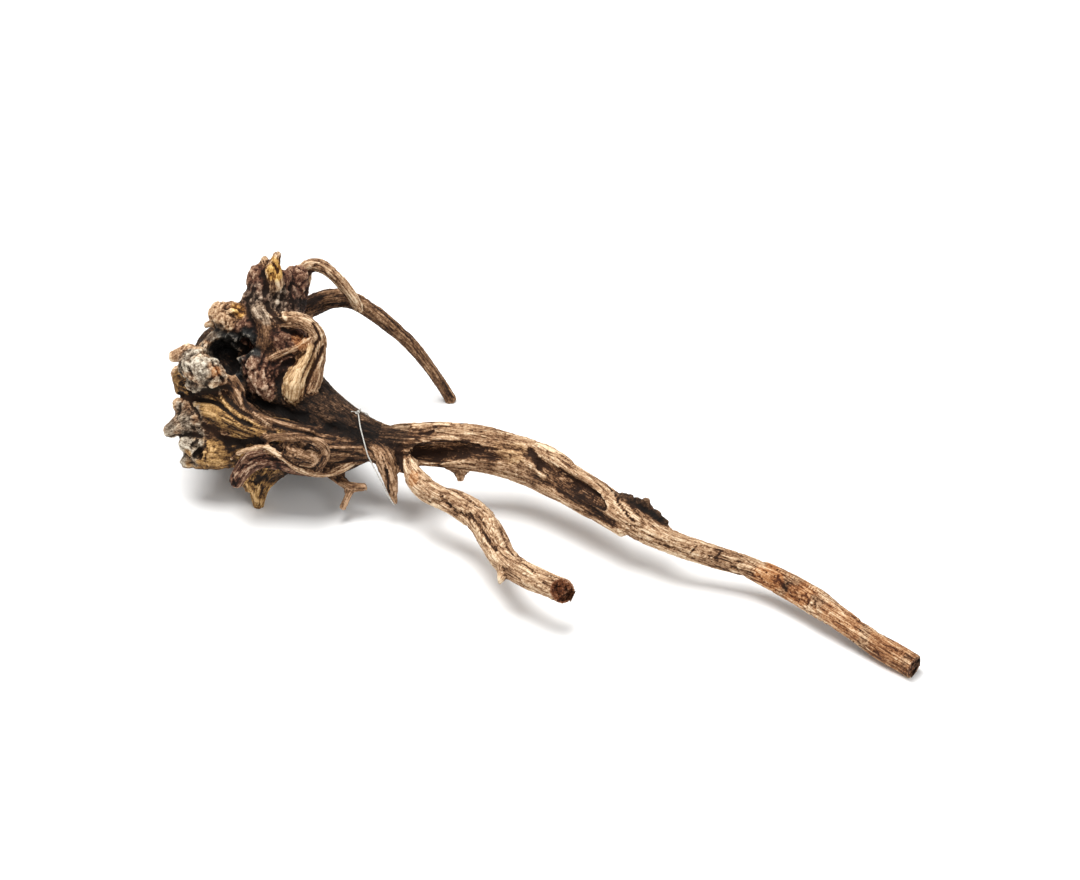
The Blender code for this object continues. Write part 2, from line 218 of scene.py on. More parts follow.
def chips(points: Array, size: float, seed: int) -> tuple[Array, Array]:
    """Split space into angular cells, like chips of cracked crust.

    Args:
        points: (N, 3) places in millimetres.
        size: width of a chip in millimetres.
        seed: picks one of many patterns.

    Returns:
        How far inside its chip each place is (0 on the crease), and a level from 0 to 1 for its chip.
    """
    scaled = points / size
    base = np.floor(scaled).astype(np.int64)
    nearest = np.full(len(points), np.inf)
    second = np.full(len(points), np.inf)
    level = np.zeros(len(points))
    for shift in np.ndindex(3, 3, 3):
        cell = base + np.array(shift) - 1
        centre = cell + np.stack([lattice(cell, seed + axis) for axis in range(3)], axis=1)
        gap = np.linalg.norm(scaled - centre, axis=1)
        closer = gap < nearest
        second = np.where(closer, nearest, np.minimum(second, gap))
        level = np.where(closer, lattice(cell, seed + 3), level)
        nearest = np.minimum(nearest, gap)
    return second - nearest, level


def step(low: float, high: float, value: Array) -> Array:
    """A smooth rise from 0 at low to 1 at high."""
    share = np.clip((value - low) / (high - low), 0.0, 1.0)
    return share * share * (3.0 - 2.0 * share)


def closest_on_line(points: Array, line: Sequence[Sequence[float]]) -> Array:
    """The point of a bent line closest to each point.

    Args:
        points: (N, 3) places in millimetres.
        line: the line's corners, at least one.

    Returns:
        (N, 3) places on the line.
    """
    corners = np.array(line, float)
    found = np.broadcast_to(corners[0], points.shape).copy()
    best = ((points - found) ** 2).sum(axis=1)
    for start, end in zip(corners[:-1], corners[1:]):
        run = end - start
        share = np.clip((points - start) @ run / max(run @ run, TINY), 0.0, 1.0)
        place = start + share[:, None] * run
        gap = ((points - place) ** 2).sum(axis=1)
        closer = gap < best
        found[closer] = place[closer]
        best[closer] = gap[closer]
    return found


def read(rows: bpy.types.bpy_prop_collection, name: str, width: int = 1, kind: type = float) -> Array:
    """Read one property of a mesh's rows.

    Args:
        rows: vertices, edges, loops or faces.
        name: the property.
        width: how many numbers it has in a row.
        kind: type of the numbers.

    Returns:
        N values, or (N, width) values.
    """
    values = np.empty(len(rows) * width, kind)
    rows.foreach_get(name, values)
    return values.reshape(-1, width) if width > 1 else values


# ----------------------------------------------------------------------------------------------------
# The limbs and the crown, as strands
# ----------------------------------------------------------------------------------------------------

@dataclass
class LongRoot:
    """The long root from the neck to its sawn end."""

    core: tuple[Knot, ...] = (
        (-124, 55, 47, 12.5), (-106, 47, 45, 12.5), (-88, 43, 45, 12.0), (-69, 43, 44, 11.5),
        (-44, 41, 42, 12.0), (-19, 37, 40, 12.5), (6, 24, 38, 11.5), (31, 4, 35, 10.0),
        (55, -18, 32, 9.2), (79, -35, 28, 8.2), (103, -43, 24, 7.2), (127, -51, 20, 6.6),
        (150, -66, 17, 7.8), (172, -87, 14, 7.6), (194, -107, 10, 7.2), (228, -138, 5.6, 7.0))

    def strands(self) -> list[Strand]:
        """The core, the lips of the hollows, the rib across them, the bump below and the decayed burr."""
        return [
            Strand(Wood.BARE, self.core),
            Strand(Wood.BARE, ((-90, 46, 52, 6.0), (-60, 46, 52, 6.5), (-28, 42, 50, 6.5), (0, 30, 48, 6.5),
                (26, 10, 43, 5.5), (46, -8, 37, 5.0))),
            Strand(Wood.BARE, ((-86, 36, 40, 6.0), (-56, 35, 38, 6.2), (-24, 30, 35, 6.2), (4, 15, 33, 5.8),
                (28, -6, 31, 5.0), (50, -25, 29, 4.4))),
            Strand(Wood.BARE, ((2, 24, 47, 4.5), (18, 8, 42, 4.6), (38, -12, 37, 4.6), (60, -28, 31, 4.5),
                (80, -39, 26, 3.5))),
            Strand(Wood.BROWN, ((-54, 40, 36, 9.0), (-50, 35, 31, 6.5), (-50, 33, 27, 3.5)), 0.5),
            Strand(Wood.SHADE, ((46, -6, 40, 4.0), (58, -12, 39, 4.4), (68, -18, 37, 3.8),
                (77, -24, 34, 2.6)), 1.0),
            Strand(Wood.SHADE, ((64, -14, 39, 3.8), (65, -14, 42, 3.0)), 1.0),
        ]

    def gouges(self) -> list[Strand]:
        """The two long hollows."""
        return [Strand(Wood.SHADE, knots) for knots in (
            ((-76, 34, 45, 5.0), (-66, 33, 45, 6.3), (-53, 32, 47, 6.3),
                (-41, 30, 48, 5.0), (-28, 27, 47, 3.7), (-16, 23, 45, 2.2)),
            ((-6, 22, 54, 2.8), (0, 17, 49, 5.0), (9, 10, 46, 5.6), (20, 3, 43, 5.5),
                (31, -6, 41, 4.6), (40, -16, 38, 2.4)),
        )]


@dataclass
class SideRoots:
    """The short front root, the thin back root and the twig above it."""

    front: tuple[Knot, ...] = (
        (-89, 46, 46, 3.4), (-84, 33, 41, 5.2), (-77, 16, 38, 6.8), (-65, 4, 35, 8.0), (-50, -5, 33, 8.6),
        (-37, -18, 32, 9.0), (-28, -37, 31, 9.0), (-21, -55, 30, 8.6), (-11, -68, 30, 8.0),
        (3, -79, 30, 7.6), (24, -93, 30, 7.2))
    thin: tuple[Knot, ...] = (
        (-168, 136, 78, 9.0), (-148, 152, 82, 7.2), (-135, 154, 85, 6.4), (-123, 155, 82, 5.6),
        (-112, 156, 74, 5.6), (-100, 157, 62, 5.4), (-87, 158, 47, 4.9), (-74, 158, 27, 4.4),
        (-67, 158, 14, 4.2), (-61, 158, 2, 4.0))
    twig: tuple[Knot, ...] = (
        (-160, 140, 90, 6.0), (-153, 142, 104, 4.6), (-150, 142, 116, 4.8), (-142, 141, 117, 5.4),
        (-135, 139, 113, 5.0), (-129, 138, 106, 4.6), (-123, 137, 97, 4.2), (-118, 136, 88, 3.6))

    def strands(self) -> list[Strand]:
        """The three side roots and the small spur of the front one."""
        return [
            Strand(Wood.BARE, self.front),
            Strand(Wood.BARE, ((-21, -64, 29, 5.0), (-24, -72, 26, 2.0))),
            Strand(Wood.BROWN, self.thin),
            Strand(Wood.BARE, self.twig),
        ]


@dataclass
class Trunk:
    """The body of the crown down to the neck, with what hangs below it."""

    body: tuple[Knot, ...] = (
        (-192, 100, 62, 34.0), (-178, 94, 56, 34.0), (-160, 82, 52, 29.0), (-142, 68, 49, 21.5),
        (-124, 56, 47, 16.0), (-104, 46, 45, 13.0))
    shoulder: tuple[Knot, ...] = (
        (-108, 51, 48, 6.5), (-122, 69, 47, 8.0), (-138, 88, 47, 11.0), (-158, 106, 50, 16.5),
        (-175, 120, 58, 24.0))

    def strands(self) -> list[Strand]:
        """The body, the dark shoulder, and the splinter, stub and hooked twig under the neck."""
        return [
            Strand(Wood.SHADE, self.body),
            Strand(Wood.BROWN, self.shoulder),
            Strand(Wood.BROWN, ((-107, 38, 46, 7.0), (-99, 31, 45, 8.0), (-95, 25, 37, 6.4),
                (-93, 21, 28, 4.4), (-91, 20, 17, 2.2))),
            Strand(Wood.BROWN, ((-136, 42, 29, 4.8), (-127, 35, 24, 4.0), (-119, 28, 23, 3.4),
                (-111, 26, 24, 3.0))),
            Strand(Wood.BROWN, ((-118, 28, 23, 2.8), (-121, 25, 18, 2.8), (-124, 22, 12, 2.8))),
        ]


@dataclass
class Crown:
    """The gnarled head of the root."""

    def top(self) -> list[Strand]:
        """The tall lobe with its knobs and the split, splintered tip."""
        return [
            Strand(Wood.GNARLED, ((-170, 104, 76, 24.0), (-170, 110, 98, 21.0), (-170, 113, 114, 16.5),
                (-170, 113, 122, 11.0)), 0.6),
            Strand(Wood.GNARLED, ((-176, 103, 114, 11.0), (-178, 106, 125, 8.6), (-178, 108, 131, 6.6)),
                0.7),
            Strand(Wood.GNARLED, ((-176, 99, 106, 10.0), (-183, 99, 114, 6.4), (-185, 101, 119, 4.6)), 0.7),
            Strand(Wood.BARE, ((-169, 105, 125, 7.5), (-168, 106, 135, 6.4), (-165, 108, 144, 3.4))),
            Strand(Wood.BARE, ((-170, 113, 120, 7.0), (-172, 112, 132, 5.2), (-174, 112, 139, 3.0))),
            Strand(Wood.GNARLED, ((-164, 121, 99, 14.0), (-158, 126, 109, 10.6), (-156, 128, 117, 8.0)),
                0.6),
            Strand(Wood.GNARLED, ((-166, 110, 115, 8.0), (-162, 116, 124, 5.6)), 0.7),
        ]

    def burl(self) -> list[Strand]:
        """The swollen lobe that overhangs the neck: rolled rim, smooth tongue, crusted heart."""
        return [
            Strand(Wood.BARE, ((-176, 94, 107, 5.7), (-163, 88, 109, 5.7), (-151, 83, 112, 5.3),
                (-143, 81, 108, 5.3), (-139, 79, 101, 5.3), (-139, 77, 92, 5.0), (-141, 74, 84, 5.0),
                (-143, 70, 76, 5.4), (-147, 66, 69, 5.7), (-153, 63, 65, 5.1))),
            Strand(Wood.SMOOTH, ((-145, 77, 103, 2.8), (-145, 74, 96, 3.8), (-148, 71, 89, 4.7),
                (-152, 68, 83, 6.3), (-155, 65, 76, 7.9), (-156, 63, 70, 7.6))),
            Strand(Wood.GNARLED, ((-162, 86, 97, 11.4), (-156, 84, 94, 10.7)), 0.6),
            Strand(Wood.BARE, ((-179, 75, 84, 2.5), (-170, 75, 89, 2.5), (-160, 75, 94, 2.5),
                (-151, 75, 98, 2.5), (-145, 76, 103, 2.5))),
            Strand(Wood.GNARLED, ((-161, 80, 77, 12.7), (-159, 74, 67, 12.0), (-160, 70, 61, 9.5)), 0.7),
            Strand(Wood.GNARLED, ((-182, 84, 87, 10.5), (-177, 77, 80, 12.0), (-175, 71, 71, 11.5),
                (-167, 66, 62, 8.5)), 0.8),
            Strand(Wood.BROWN, ((-178, 92, 113, 5.7), (-173, 86, 106, 6.3), (-173, 82, 98, 5.7),
                (-177, 80, 90, 4.4)), 0.3),
        ]

    def flank(self) -> list[Strand]:
        """The fan of fibres that runs from the left knobs to the neck."""
        return [
            Strand(Wood.OCHRE, ((-211, 52, 63, 5.0), (-198, 48, 60, 7.5), (-182, 43, 57, 9.4),
                (-160, 39, 53, 11.3))),
            Strand(Wood.BROWN, ((-160, 39, 53, 11.3), (-138, 38, 47, 11.9), (-120, 40, 44, 10.7),
                (-103, 42, 41, 8.2))),
            Strand(Wood.BROWN, ((-198, 62, 86, 5.6), (-192, 58, 79, 5.0), (-187, 52, 73, 4.4),
                (-181, 46, 68, 4.4), (-171, 41, 65, 4.4), (-160, 38, 61, 5.0), (-144, 36, 58, 5.6))),
            Strand(Wood.OCHRE, ((-225, 70, 71, 3.8), (-213, 62, 71, 4.4), (-202, 56, 71, 4.4),
                (-193, 50, 68, 4.7), (-183, 45, 64, 5.0), (-171, 41, 60, 5.0), (-156, 38, 56, 5.6))),
            Strand(Wood.OCHRE, ((-214, 54, 65, 5.0), (-204, 49, 66, 5.3), (-195, 44, 64, 5.6),
                (-184, 40, 60, 5.6), (-171, 36, 58, 5.6))),
        ]

    def left_side(self) -> list[Strand]:
        """The weathered knobs and stubs on the left."""
        return [
            Strand(Wood.GREY, ((-201, 64, 81, 9.4), (-206, 60, 88, 10.0), (-212, 60, 91, 11.2),
                (-218, 64, 92, 8.8)), 0.8),
            Strand(Wood.GREY, ((-209, 58, 81, 5.6), (-217, 60, 79, 5.6)), 0.8),
            Strand(Wood.BARE, ((-214, 69, 92, 8.0), (-222, 71, 96, 5.0), (-230, 72, 92, 4.0)), 0.7),
            Strand(Wood.OCHRE, ((-218, 70, 82, 7.0), (-227, 73, 76, 5.2), (-228, 72, 67, 4.0))),
            Strand(Wood.BARE, ((-193, 52, 52, 12.0), (-208, 53, 55, 10.0), (-221, 54, 56, 8.4),
                (-230, 54, 51, 6.4), (-234, 54, 48, 5.2)), 0.4),
            Strand(Wood.BARE, ((-208, 60, 60, 10.0), (-218, 61, 63, 7.0), (-228, 62, 62, 5.0)), 0.5),
            Strand(Wood.OCHRE, ((-186, 48, 40, 13.0), (-202, 45, 39, 12.0), (-214, 44, 41, 10.4),
                (-222, 46, 43, 6.6)), 0.3),
            Strand(Wood.OCHRE, ((-204, 45, 35, 8.5), (-216, 43, 33, 6.4), (-223, 42, 32, 4.8)), 0.4),
            Strand(Wood.GNARLED, ((-178, 94, 90, 17.0), (-188, 95, 102, 12.5)), 0.8),
            Strand(Wood.BARE, ((-188, 95, 102, 12.5), (-196, 96, 109, 9.0), (-202, 96, 111, 6.6)), 0.8),
            Strand(Wood.BARE, ((-194, 92, 104, 8.5), (-202, 93, 108, 6.4), (-206, 94, 109, 4.8)), 0.8),
            Strand(Wood.BARE, ((-200, 96, 104, 5.0), (-207, 98, 101, 3.0), (-212, 98, 99, 2.2))),
            Strand(Wood.GREY, ((-199, 92, 98, 7.0), (-207, 85, 94, 5.6), (-210, 78, 89, 6.2),
                (-207, 71, 84, 7.0)), 0.6),
        ]

    def bottom(self) -> list[Strand]:
        """The claw, the spike that stands on the floor, the eye knot and the belly."""
        return [
            Strand(Wood.GNARLED, ((-137, 27, 36, 5.0), (-150, 25, 41, 6.0), (-165, 25, 47, 7.4),
                (-178, 25, 46, 7.4), (-185, 23, 40, 6.2), (-190, 22, 32, 5.2))),
            Strand(Wood.BARE, ((-192, 22, 49, 1.6), (-186, 20, 55, 1.9), (-178, 20, 58, 1.9),
                (-170, 21, 58, 2.0), (-163, 19, 55, 2.0), (-156, 17, 50, 2.0), (-148, 18, 43, 2.2),
                (-137, 22, 37, 2.6), (-127, 28, 35, 2.8), (-118, 32, 38, 2.5))),
            Strand(Wood.OCHRE, ((-166, 42, 36, 12.0), (-175, 39, 24, 8.6), (-179, 38, 12, 5.6),
                (-180, 38, 1, 3.6))),
            Strand(Wood.OCHRE, ((-184, 40, 36, 9.0), (-186, 37, 24, 5.4), (-185, 36, 16, 3.0))),
            Strand(Wood.BROWN, ((-152, 24, 53, 8.1), (-142, 21, 51, 6.2))),
            Strand(Wood.BROWN, ((-173, 28, 59, 2.5), (-163, 24, 64, 2.5), (-153, 22, 65, 2.8),
                (-143, 20, 65, 2.8), (-135, 20, 61, 2.8), (-133, 22, 51, 2.8), (-137, 22, 43, 2.8))),
            Strand(Wood.SHADE, ((-166, 56, 24, 9.0), (-144, 48, 25, 7.4), (-127, 43, 29, 6.2),
                (-112, 43, 36, 5.4))),
        ]

    def back(self) -> list[Strand]:
        """The broken stubs on the far side and the heel the crown stands on."""
        return [
            Strand(Wood.BROWN, ((-186, 112, 40, 26.0), (-196, 124, 20, 18.0), (-202, 132, 2, 11.0)), 0.2),
            Strand(Wood.GNARLED, ((-180, 118, 70, 22.0), (-172, 140, 74, 15.0), (-166, 156, 78, 8.5)), 0.4),
            Strand(Wood.OCHRE, ((-176, 118, 40, 22.0), (-162, 142, 34, 13.0), (-154, 156, 30, 7.5)), 0.2),
            Strand(Wood.BROWN, ((-194, 108, 64, 24.0), (-208, 126, 60, 14.0), (-216, 140, 58, 8.0)), 0.3),
            Strand(Wood.OCHRE, ((-200, 98, 50, 22.0), (-220, 112, 46, 14.0), (-234, 122, 44, 8.0)), 0.3),
            Strand(Wood.BROWN, ((-196, 84, 34, 20.0), (-214, 88, 22, 12.0), (-226, 92, 14, 7.5)), 0.3),
            Strand(Wood.GNARLED, ((-176, 122, 90, 15.0), (-174, 136, 96, 9.0), (-170, 146, 100, 5.5)), 0.5),
            Strand(Wood.BARE, ((-204, 78, 62, 16.0), (-222, 86, 64, 10.0), (-232, 92, 66, 6.0)), 0.5),
        ]

    def back_ridges(self) -> list[Strand]:
        """The fibres that run over the far side and the splinters of its broken stubs."""
        return [
            Strand(Wood.BROWN, ((-168, 126, 108, 4.0), (-178, 135, 88, 5.0), (-190, 136, 66, 5.5),
                (-197, 135, 44, 5.5), (-202, 139, 22, 4.5), (-205, 141, 6, 3.5))),
            Strand(Wood.OCHRE, ((-150, 124, 84, 4.0), (-160, 134, 66, 5.0), (-166, 142, 48, 5.0),
                (-160, 150, 36, 4.0))),
            Strand(Wood.BARE, ((-214, 96, 84, 4.0), (-216, 108, 70, 5.0), (-222, 118, 56, 4.5),
                (-232, 124, 46, 3.5))),
            Strand(Wood.BROWN, ((-178, 122, 100, 4.0), (-189, 117, 83, 5.0), (-203, 115, 76, 5.0),
                (-213, 122, 66, 4.5))),
            Strand(Wood.OCHRE, ((-214, 80, 46, 5.0), (-218, 92, 34, 5.0), (-226, 95, 18, 3.5))),
            Strand(Wood.BROWN, ((-186, 128, 50, 6.0), (-182, 138, 26, 5.0), (-186, 140, 8, 3.5))),
        ] + [Strand(Wood.BARE, ends) for ends in (
            ((-211, 133, 60, 5.0), (-220, 146, 63, 2.2)),
            ((-212, 133, 55, 5.0), (-217, 146, 51, 2.2)),
            ((-228, 118, 47, 5.0), (-239, 125, 49, 2.0)),
            ((-228, 117, 41, 5.0), (-238, 126, 37, 2.0)),
            ((-158, 149, 34, 5.0), (-151, 161, 35, 2.0)),
            ((-157, 150, 27, 4.5), (-149, 160, 24, 2.0)),
            ((-221, 90, 18, 5.0), (-232, 93, 16, 2.0)),
            ((-220, 91, 12, 5.0), (-230, 97, 8, 2.0)),
        )]

    def strands(self) -> list[Strand]:
        """Every strand of the crown."""
        return (self.top() + self.burl() + self.flank() + self.left_side() + self.bottom() + self.back()
                + self.back_ridges())

    def gouges(self) -> list[Strand]:
        """The charred hollow, the eye of the burl, the holes of the grey stub and the clefts below."""
        return [Strand(Wood.SHADE, knots) for knots in (
            ((-205, 66, 104, 8.5), (-201, 76, 94, 9.0), (-198, 86, 84, 6.0)),
            ((-188, 66, 108, 7.0), (-187, 76, 98, 7.5), (-188, 86, 88, 5.0)),
            ((-196, 66, 88, 7.0), (-196, 76, 82, 6.5), (-194, 84, 78, 4.0)),
            ((-193, 56, 98, 5.0), (-190, 56, 89, 5.0), (-187, 54, 82, 3.1)),
            ((-163, 66, 89, 2.8), (-158, 67, 90, 3.1), (-153, 67, 92, 2.8)),
            ((-151, 67, 96, 1.9), (-148, 69, 97, 1.9)),
            ((-159, 74, 111, 1.6), (-152, 72, 111, 1.6), (-146, 71, 109, 1.6)),
            ((-144, 14, 63, 1.8), (-140, 14, 65, 2.0), (-137, 15, 60, 1.6)),
            ((-217, 30, 51, 3.0), (-216, 38, 46, 3.0)),
            ((-215, 30, 45, 3.0), (-214, 38, 40, 3.0)),
            ((-196, 32, 56, 2.5), (-186, 28, 58, 3.7), (-176, 26, 59, 3.1)),
            ((-212, 44, 60, 2.3), (-205, 38, 59, 2.6), (-197, 32, 58, 2.5)),
        )]


# ----------------------------------------------------------------------------------------------------
# The skin: fused strands, hollowed, sawn and carved
# ----------------------------------------------------------------------------------------------------

@dataclass
class Grain:
    """Where a point of the skin lies along and around its strand.

    Args:
        strands: the runs of wood.
        spacing: distance between the points walked, in millimetres.
        stagger: how much further along the pattern each next strand starts, in millimetres.
        block: how many points are searched at a time.
        first_side: a direction that no strand runs along.
    """

    strands: list[Strand]
    spacing: float = 1.5
    stagger: float = 61.0
    block: int = 4000
    first_side: Point = (0.31, 0.17, 0.94)
    places: Array = field(init=False)
    radii: Array = field(init=False)
    along: Array = field(init=False)
    side: Array = field(init=False)
    run: Array = field(init=False)
    owner: Array = field(init=False)

    def __post_init__(self) -> None:
        """Walk every strand and keep its places, radii, directions and side vectors."""
        parts = []
        for number, strand in enumerate(self.strands):
            walk = self.walk(np.array(strand.knots, float))
            places = walk[:, :3]
            direction = np.gradient(places, axis=0)
            direction /= np.maximum(np.linalg.norm(direction, axis=1), TINY)[:, None]
            run = np.concatenate(([0.0], np.cumsum(np.linalg.norm(np.diff(places, axis=0), axis=1))))
            parts.append((places, walk[:, 3], direction, self.carried_sides(direction),
                          run + self.stagger * number, np.full(len(walk), number)))
        joined = map(np.concatenate, zip(*parts))
        self.places, self.radii, self.along, self.side, self.run, self.owner = joined

    def walk(self, knots: Array) -> Array:
        """Points every millimetre or two on a smooth curve through the knots.

        Args:
            knots: (N, 4) places and radii.

        Returns:
            (M, 4) places and radii.
        """
        padded = np.vstack((2.0 * knots[0] - knots[1], knots, 2.0 * knots[-1] - knots[-2]))
        points = []
        for index in range(1, len(padded) - 2):
            a, b, c, d = padded[index - 1:index + 3]
            count = max(2, int(np.linalg.norm((c - b)[:3]) / self.spacing))
            t = (np.arange(count) / count)[:, None]
            points.append(0.5 * (2.0 * b + (c - a) * t + (2.0 * a - 5.0 * b + 4.0 * c - d) * t * t
                                 + (3.0 * b - a - 3.0 * c + d) * t ** 3))
        points.append(knots[-1:])
        return np.vstack(points)

    def carried_sides(self, directions: Array) -> Array:
        """Side vectors carried along a strand without twisting.

        Args:
            directions: (N, 3) unit directions of the strand.

        Returns:
            (N, 3) unit vectors at right angles to them.
        """
        side = np.cross(directions[0], self.first_side)
        sides = []
        for direction in directions:
            side = side - (side @ direction) * direction
            side /= max(np.linalg.norm(side), TINY)
            sides.append(side)
        return np.array(sides)

    def nearest(self, points: Array) -> Array:
        """The walk point whose strand surface is nearest to each point.

        Args:
            points: (N, 3) places in millimetres.

        Returns:
            N indices.
        """
        found = np.empty(len(points), int)
        size = (self.places ** 2).sum(axis=1)
        for start in range(0, len(points), self.block):
            some = points[start:start + self.block]
            square = (some ** 2).sum(axis=1)[:, None] + size - 2.0 * some @ self.places.T
            gap = np.sqrt(np.maximum(square, 0.0)) - self.radii
            found[start:start + self.block] = np.argmin(gap, axis=1)
        return found

    def coordinates(self, points: Array, sample: Array) -> Array:
        """Places in the wood's own directions: along the strand, and two ways across it.

        Args:
            points: (N, 3) places in millimetres.
            sample: the walk point each is measured from.

        Returns:
            (N, 3) places in millimetres.
        """
        offset = points - self.places[sample]
        along, side = self.along[sample], self.side[sample]
        up = np.cross(along, side)
        return np.stack((self.run[sample] + (offset * along).sum(axis=1), (offset * side).sum(axis=1),
                         (offset * up).sum(axis=1)), axis=1)


def meshed(shape: bmesh.types.BMesh, name: str) -> bpy.types.Mesh:
    """Turn a shape into a new mesh.

    Args:
        shape: the shape, which is freed.
        name: name of the mesh.

    Returns:
        The mesh.
    """
    mesh = bpy.data.meshes.new(name)
    shape.to_mesh(mesh)
    shape.free()
    return mesh


def cut_off(shape: bmesh.types.BMesh, parts: dict, place: Vector,
            facing: Vector) -> list[bmesh.types.BMFace]:
    """Cut a shape at a plane and close it.

    Args:
        shape: the shape.
        parts: its faces, edges and vertices near the plane, as keys.
        place: a point of the plane.
        facing: towards the side that goes.

    Returns:
        The faces that close the cut.
    """
    made = bmesh.ops.bisect_plane(shape, geom=list(parts), plane_co=place, plane_no=facing,
                                  clear_outer=True)
    edges = [part for part in made["geom_cut"] if isinstance(part, bmesh.types.BMEdge)]
    rim = [edge for edge in edges if edge.is_boundary]
    return bmesh.ops.holes_fill(shape, edges=rim, sides=0)["faces"]


@dataclass
class SawCut:
    """A flat sawn end.

    Args:
        centre: a point of the cut, in millimetres.
        facing: direction out of the wood.
        dark: how much of the dark saw-cut finish the end takes.
        reach: how far from the centre the saw works, in millimetres.
        ring: width of the rings the end is closed with.
    """

    centre: Point
    facing: Point
    dark: float = 1.0
    reach: float = 26.0
    ring: float = 1.0

    def normal(self) -> Vector:
        """The unit direction out of the wood."""
        return Vector(self.facing).normalized()

    def make(self, shape: bmesh.types.BMesh) -> None:
        """Saw the skin off and close it with rings as close as the growth rings.

        Args:
            shape: the skin, in millimetres.
        """
        middle = Vector(self.centre)
        near = [face for face in shape.faces if (face.calc_center_median() - middle).length < self.reach]
        parts = dict.fromkeys(near)
        for face in near:
            parts.update(dict.fromkeys([*face.verts, *face.edges]))
        filled = cut_off(shape, parts, middle, self.normal())
        for face in filled:
            rings = int(math.sqrt(face.calc_area() / math.pi) / self.ring) - 1
            for _ in range(rings):
                bmesh.ops.inset_individual(shape, faces=[face], thickness=self.ring, use_even_offset=False)
        bmesh.ops.triangulate(shape, faces=filled)


@dataclass
class Skin:
    """The surface of the root as arrays, in millimetres.

    Args:
        mesh: the Blender mesh the arrays belong to.
    """

    mesh: bpy.types.Mesh
    places: Array = field(init=False)
    edges: Array = field(init=False)
    degree: Array = field(init=False)

    def __post_init__(self) -> None:
        """Read the mesh."""
        self.places = read(self.mesh.vertices, "co", 3)
        self.edges = read(self.mesh.edges, "vertices", 2, np.int64)
        self.degree = np.maximum(np.bincount(self.edges.ravel(), minlength=len(self.places)), 1)

    def store(self, places: Array) -> None:
        """Move the vertices.

        Args:
            places: (N, 3) new places in millimetres.
        """
        self.places = places
        self.mesh.vertices.foreach_set("co", places.ravel())
        self.mesh.update()

    def normals(self) -> Array:
        """Unit normals of the vertices."""
        return read(self.mesh.vertices, "normal", 3)

    def spread(self, values: Array, rounds: int) -> Array:
        """Average values over the neighbours again and again.

        Args:
            values: (N,) or (N, 3) values of the vertices.
            rounds: how often.

        Returns:
            The evened values.
        """
        a, b = self.edges[:, 0], self.edges[:, 1]
        flat = values.reshape(len(values), -1).astype(float)
        for _ in range(rounds):
            total = np.empty_like(flat)
            for column in range(flat.shape[1]):
                one = flat[:, column]
                total[:, column] = (np.bincount(a, one[b], len(one)) + np.bincount(b, one[a], len(one)))
            flat = 0.5 * flat + 0.5 * total / self.degree[:, None]
        return flat.reshape(values.shape)

    def hollowness(self, rounds: int) -> Array:
        """How far each vertex lies below the evened skin, in millimetres."""
        return ((self.spread(self.places, rounds) - self.places) * self.normals()).sum(axis=1)

    def mark(self, name: str, values: Array) -> None:
        """Keep one number a vertex in the mesh for the finishes to read.

        Args:
            name: name of the attribute.
            values: N values.
        """
        kept = self.mesh.attributes.new(name, "FLOAT", "POINT")
        kept.data.foreach_set("value", np.ascontiguousarray(values, np.float32))


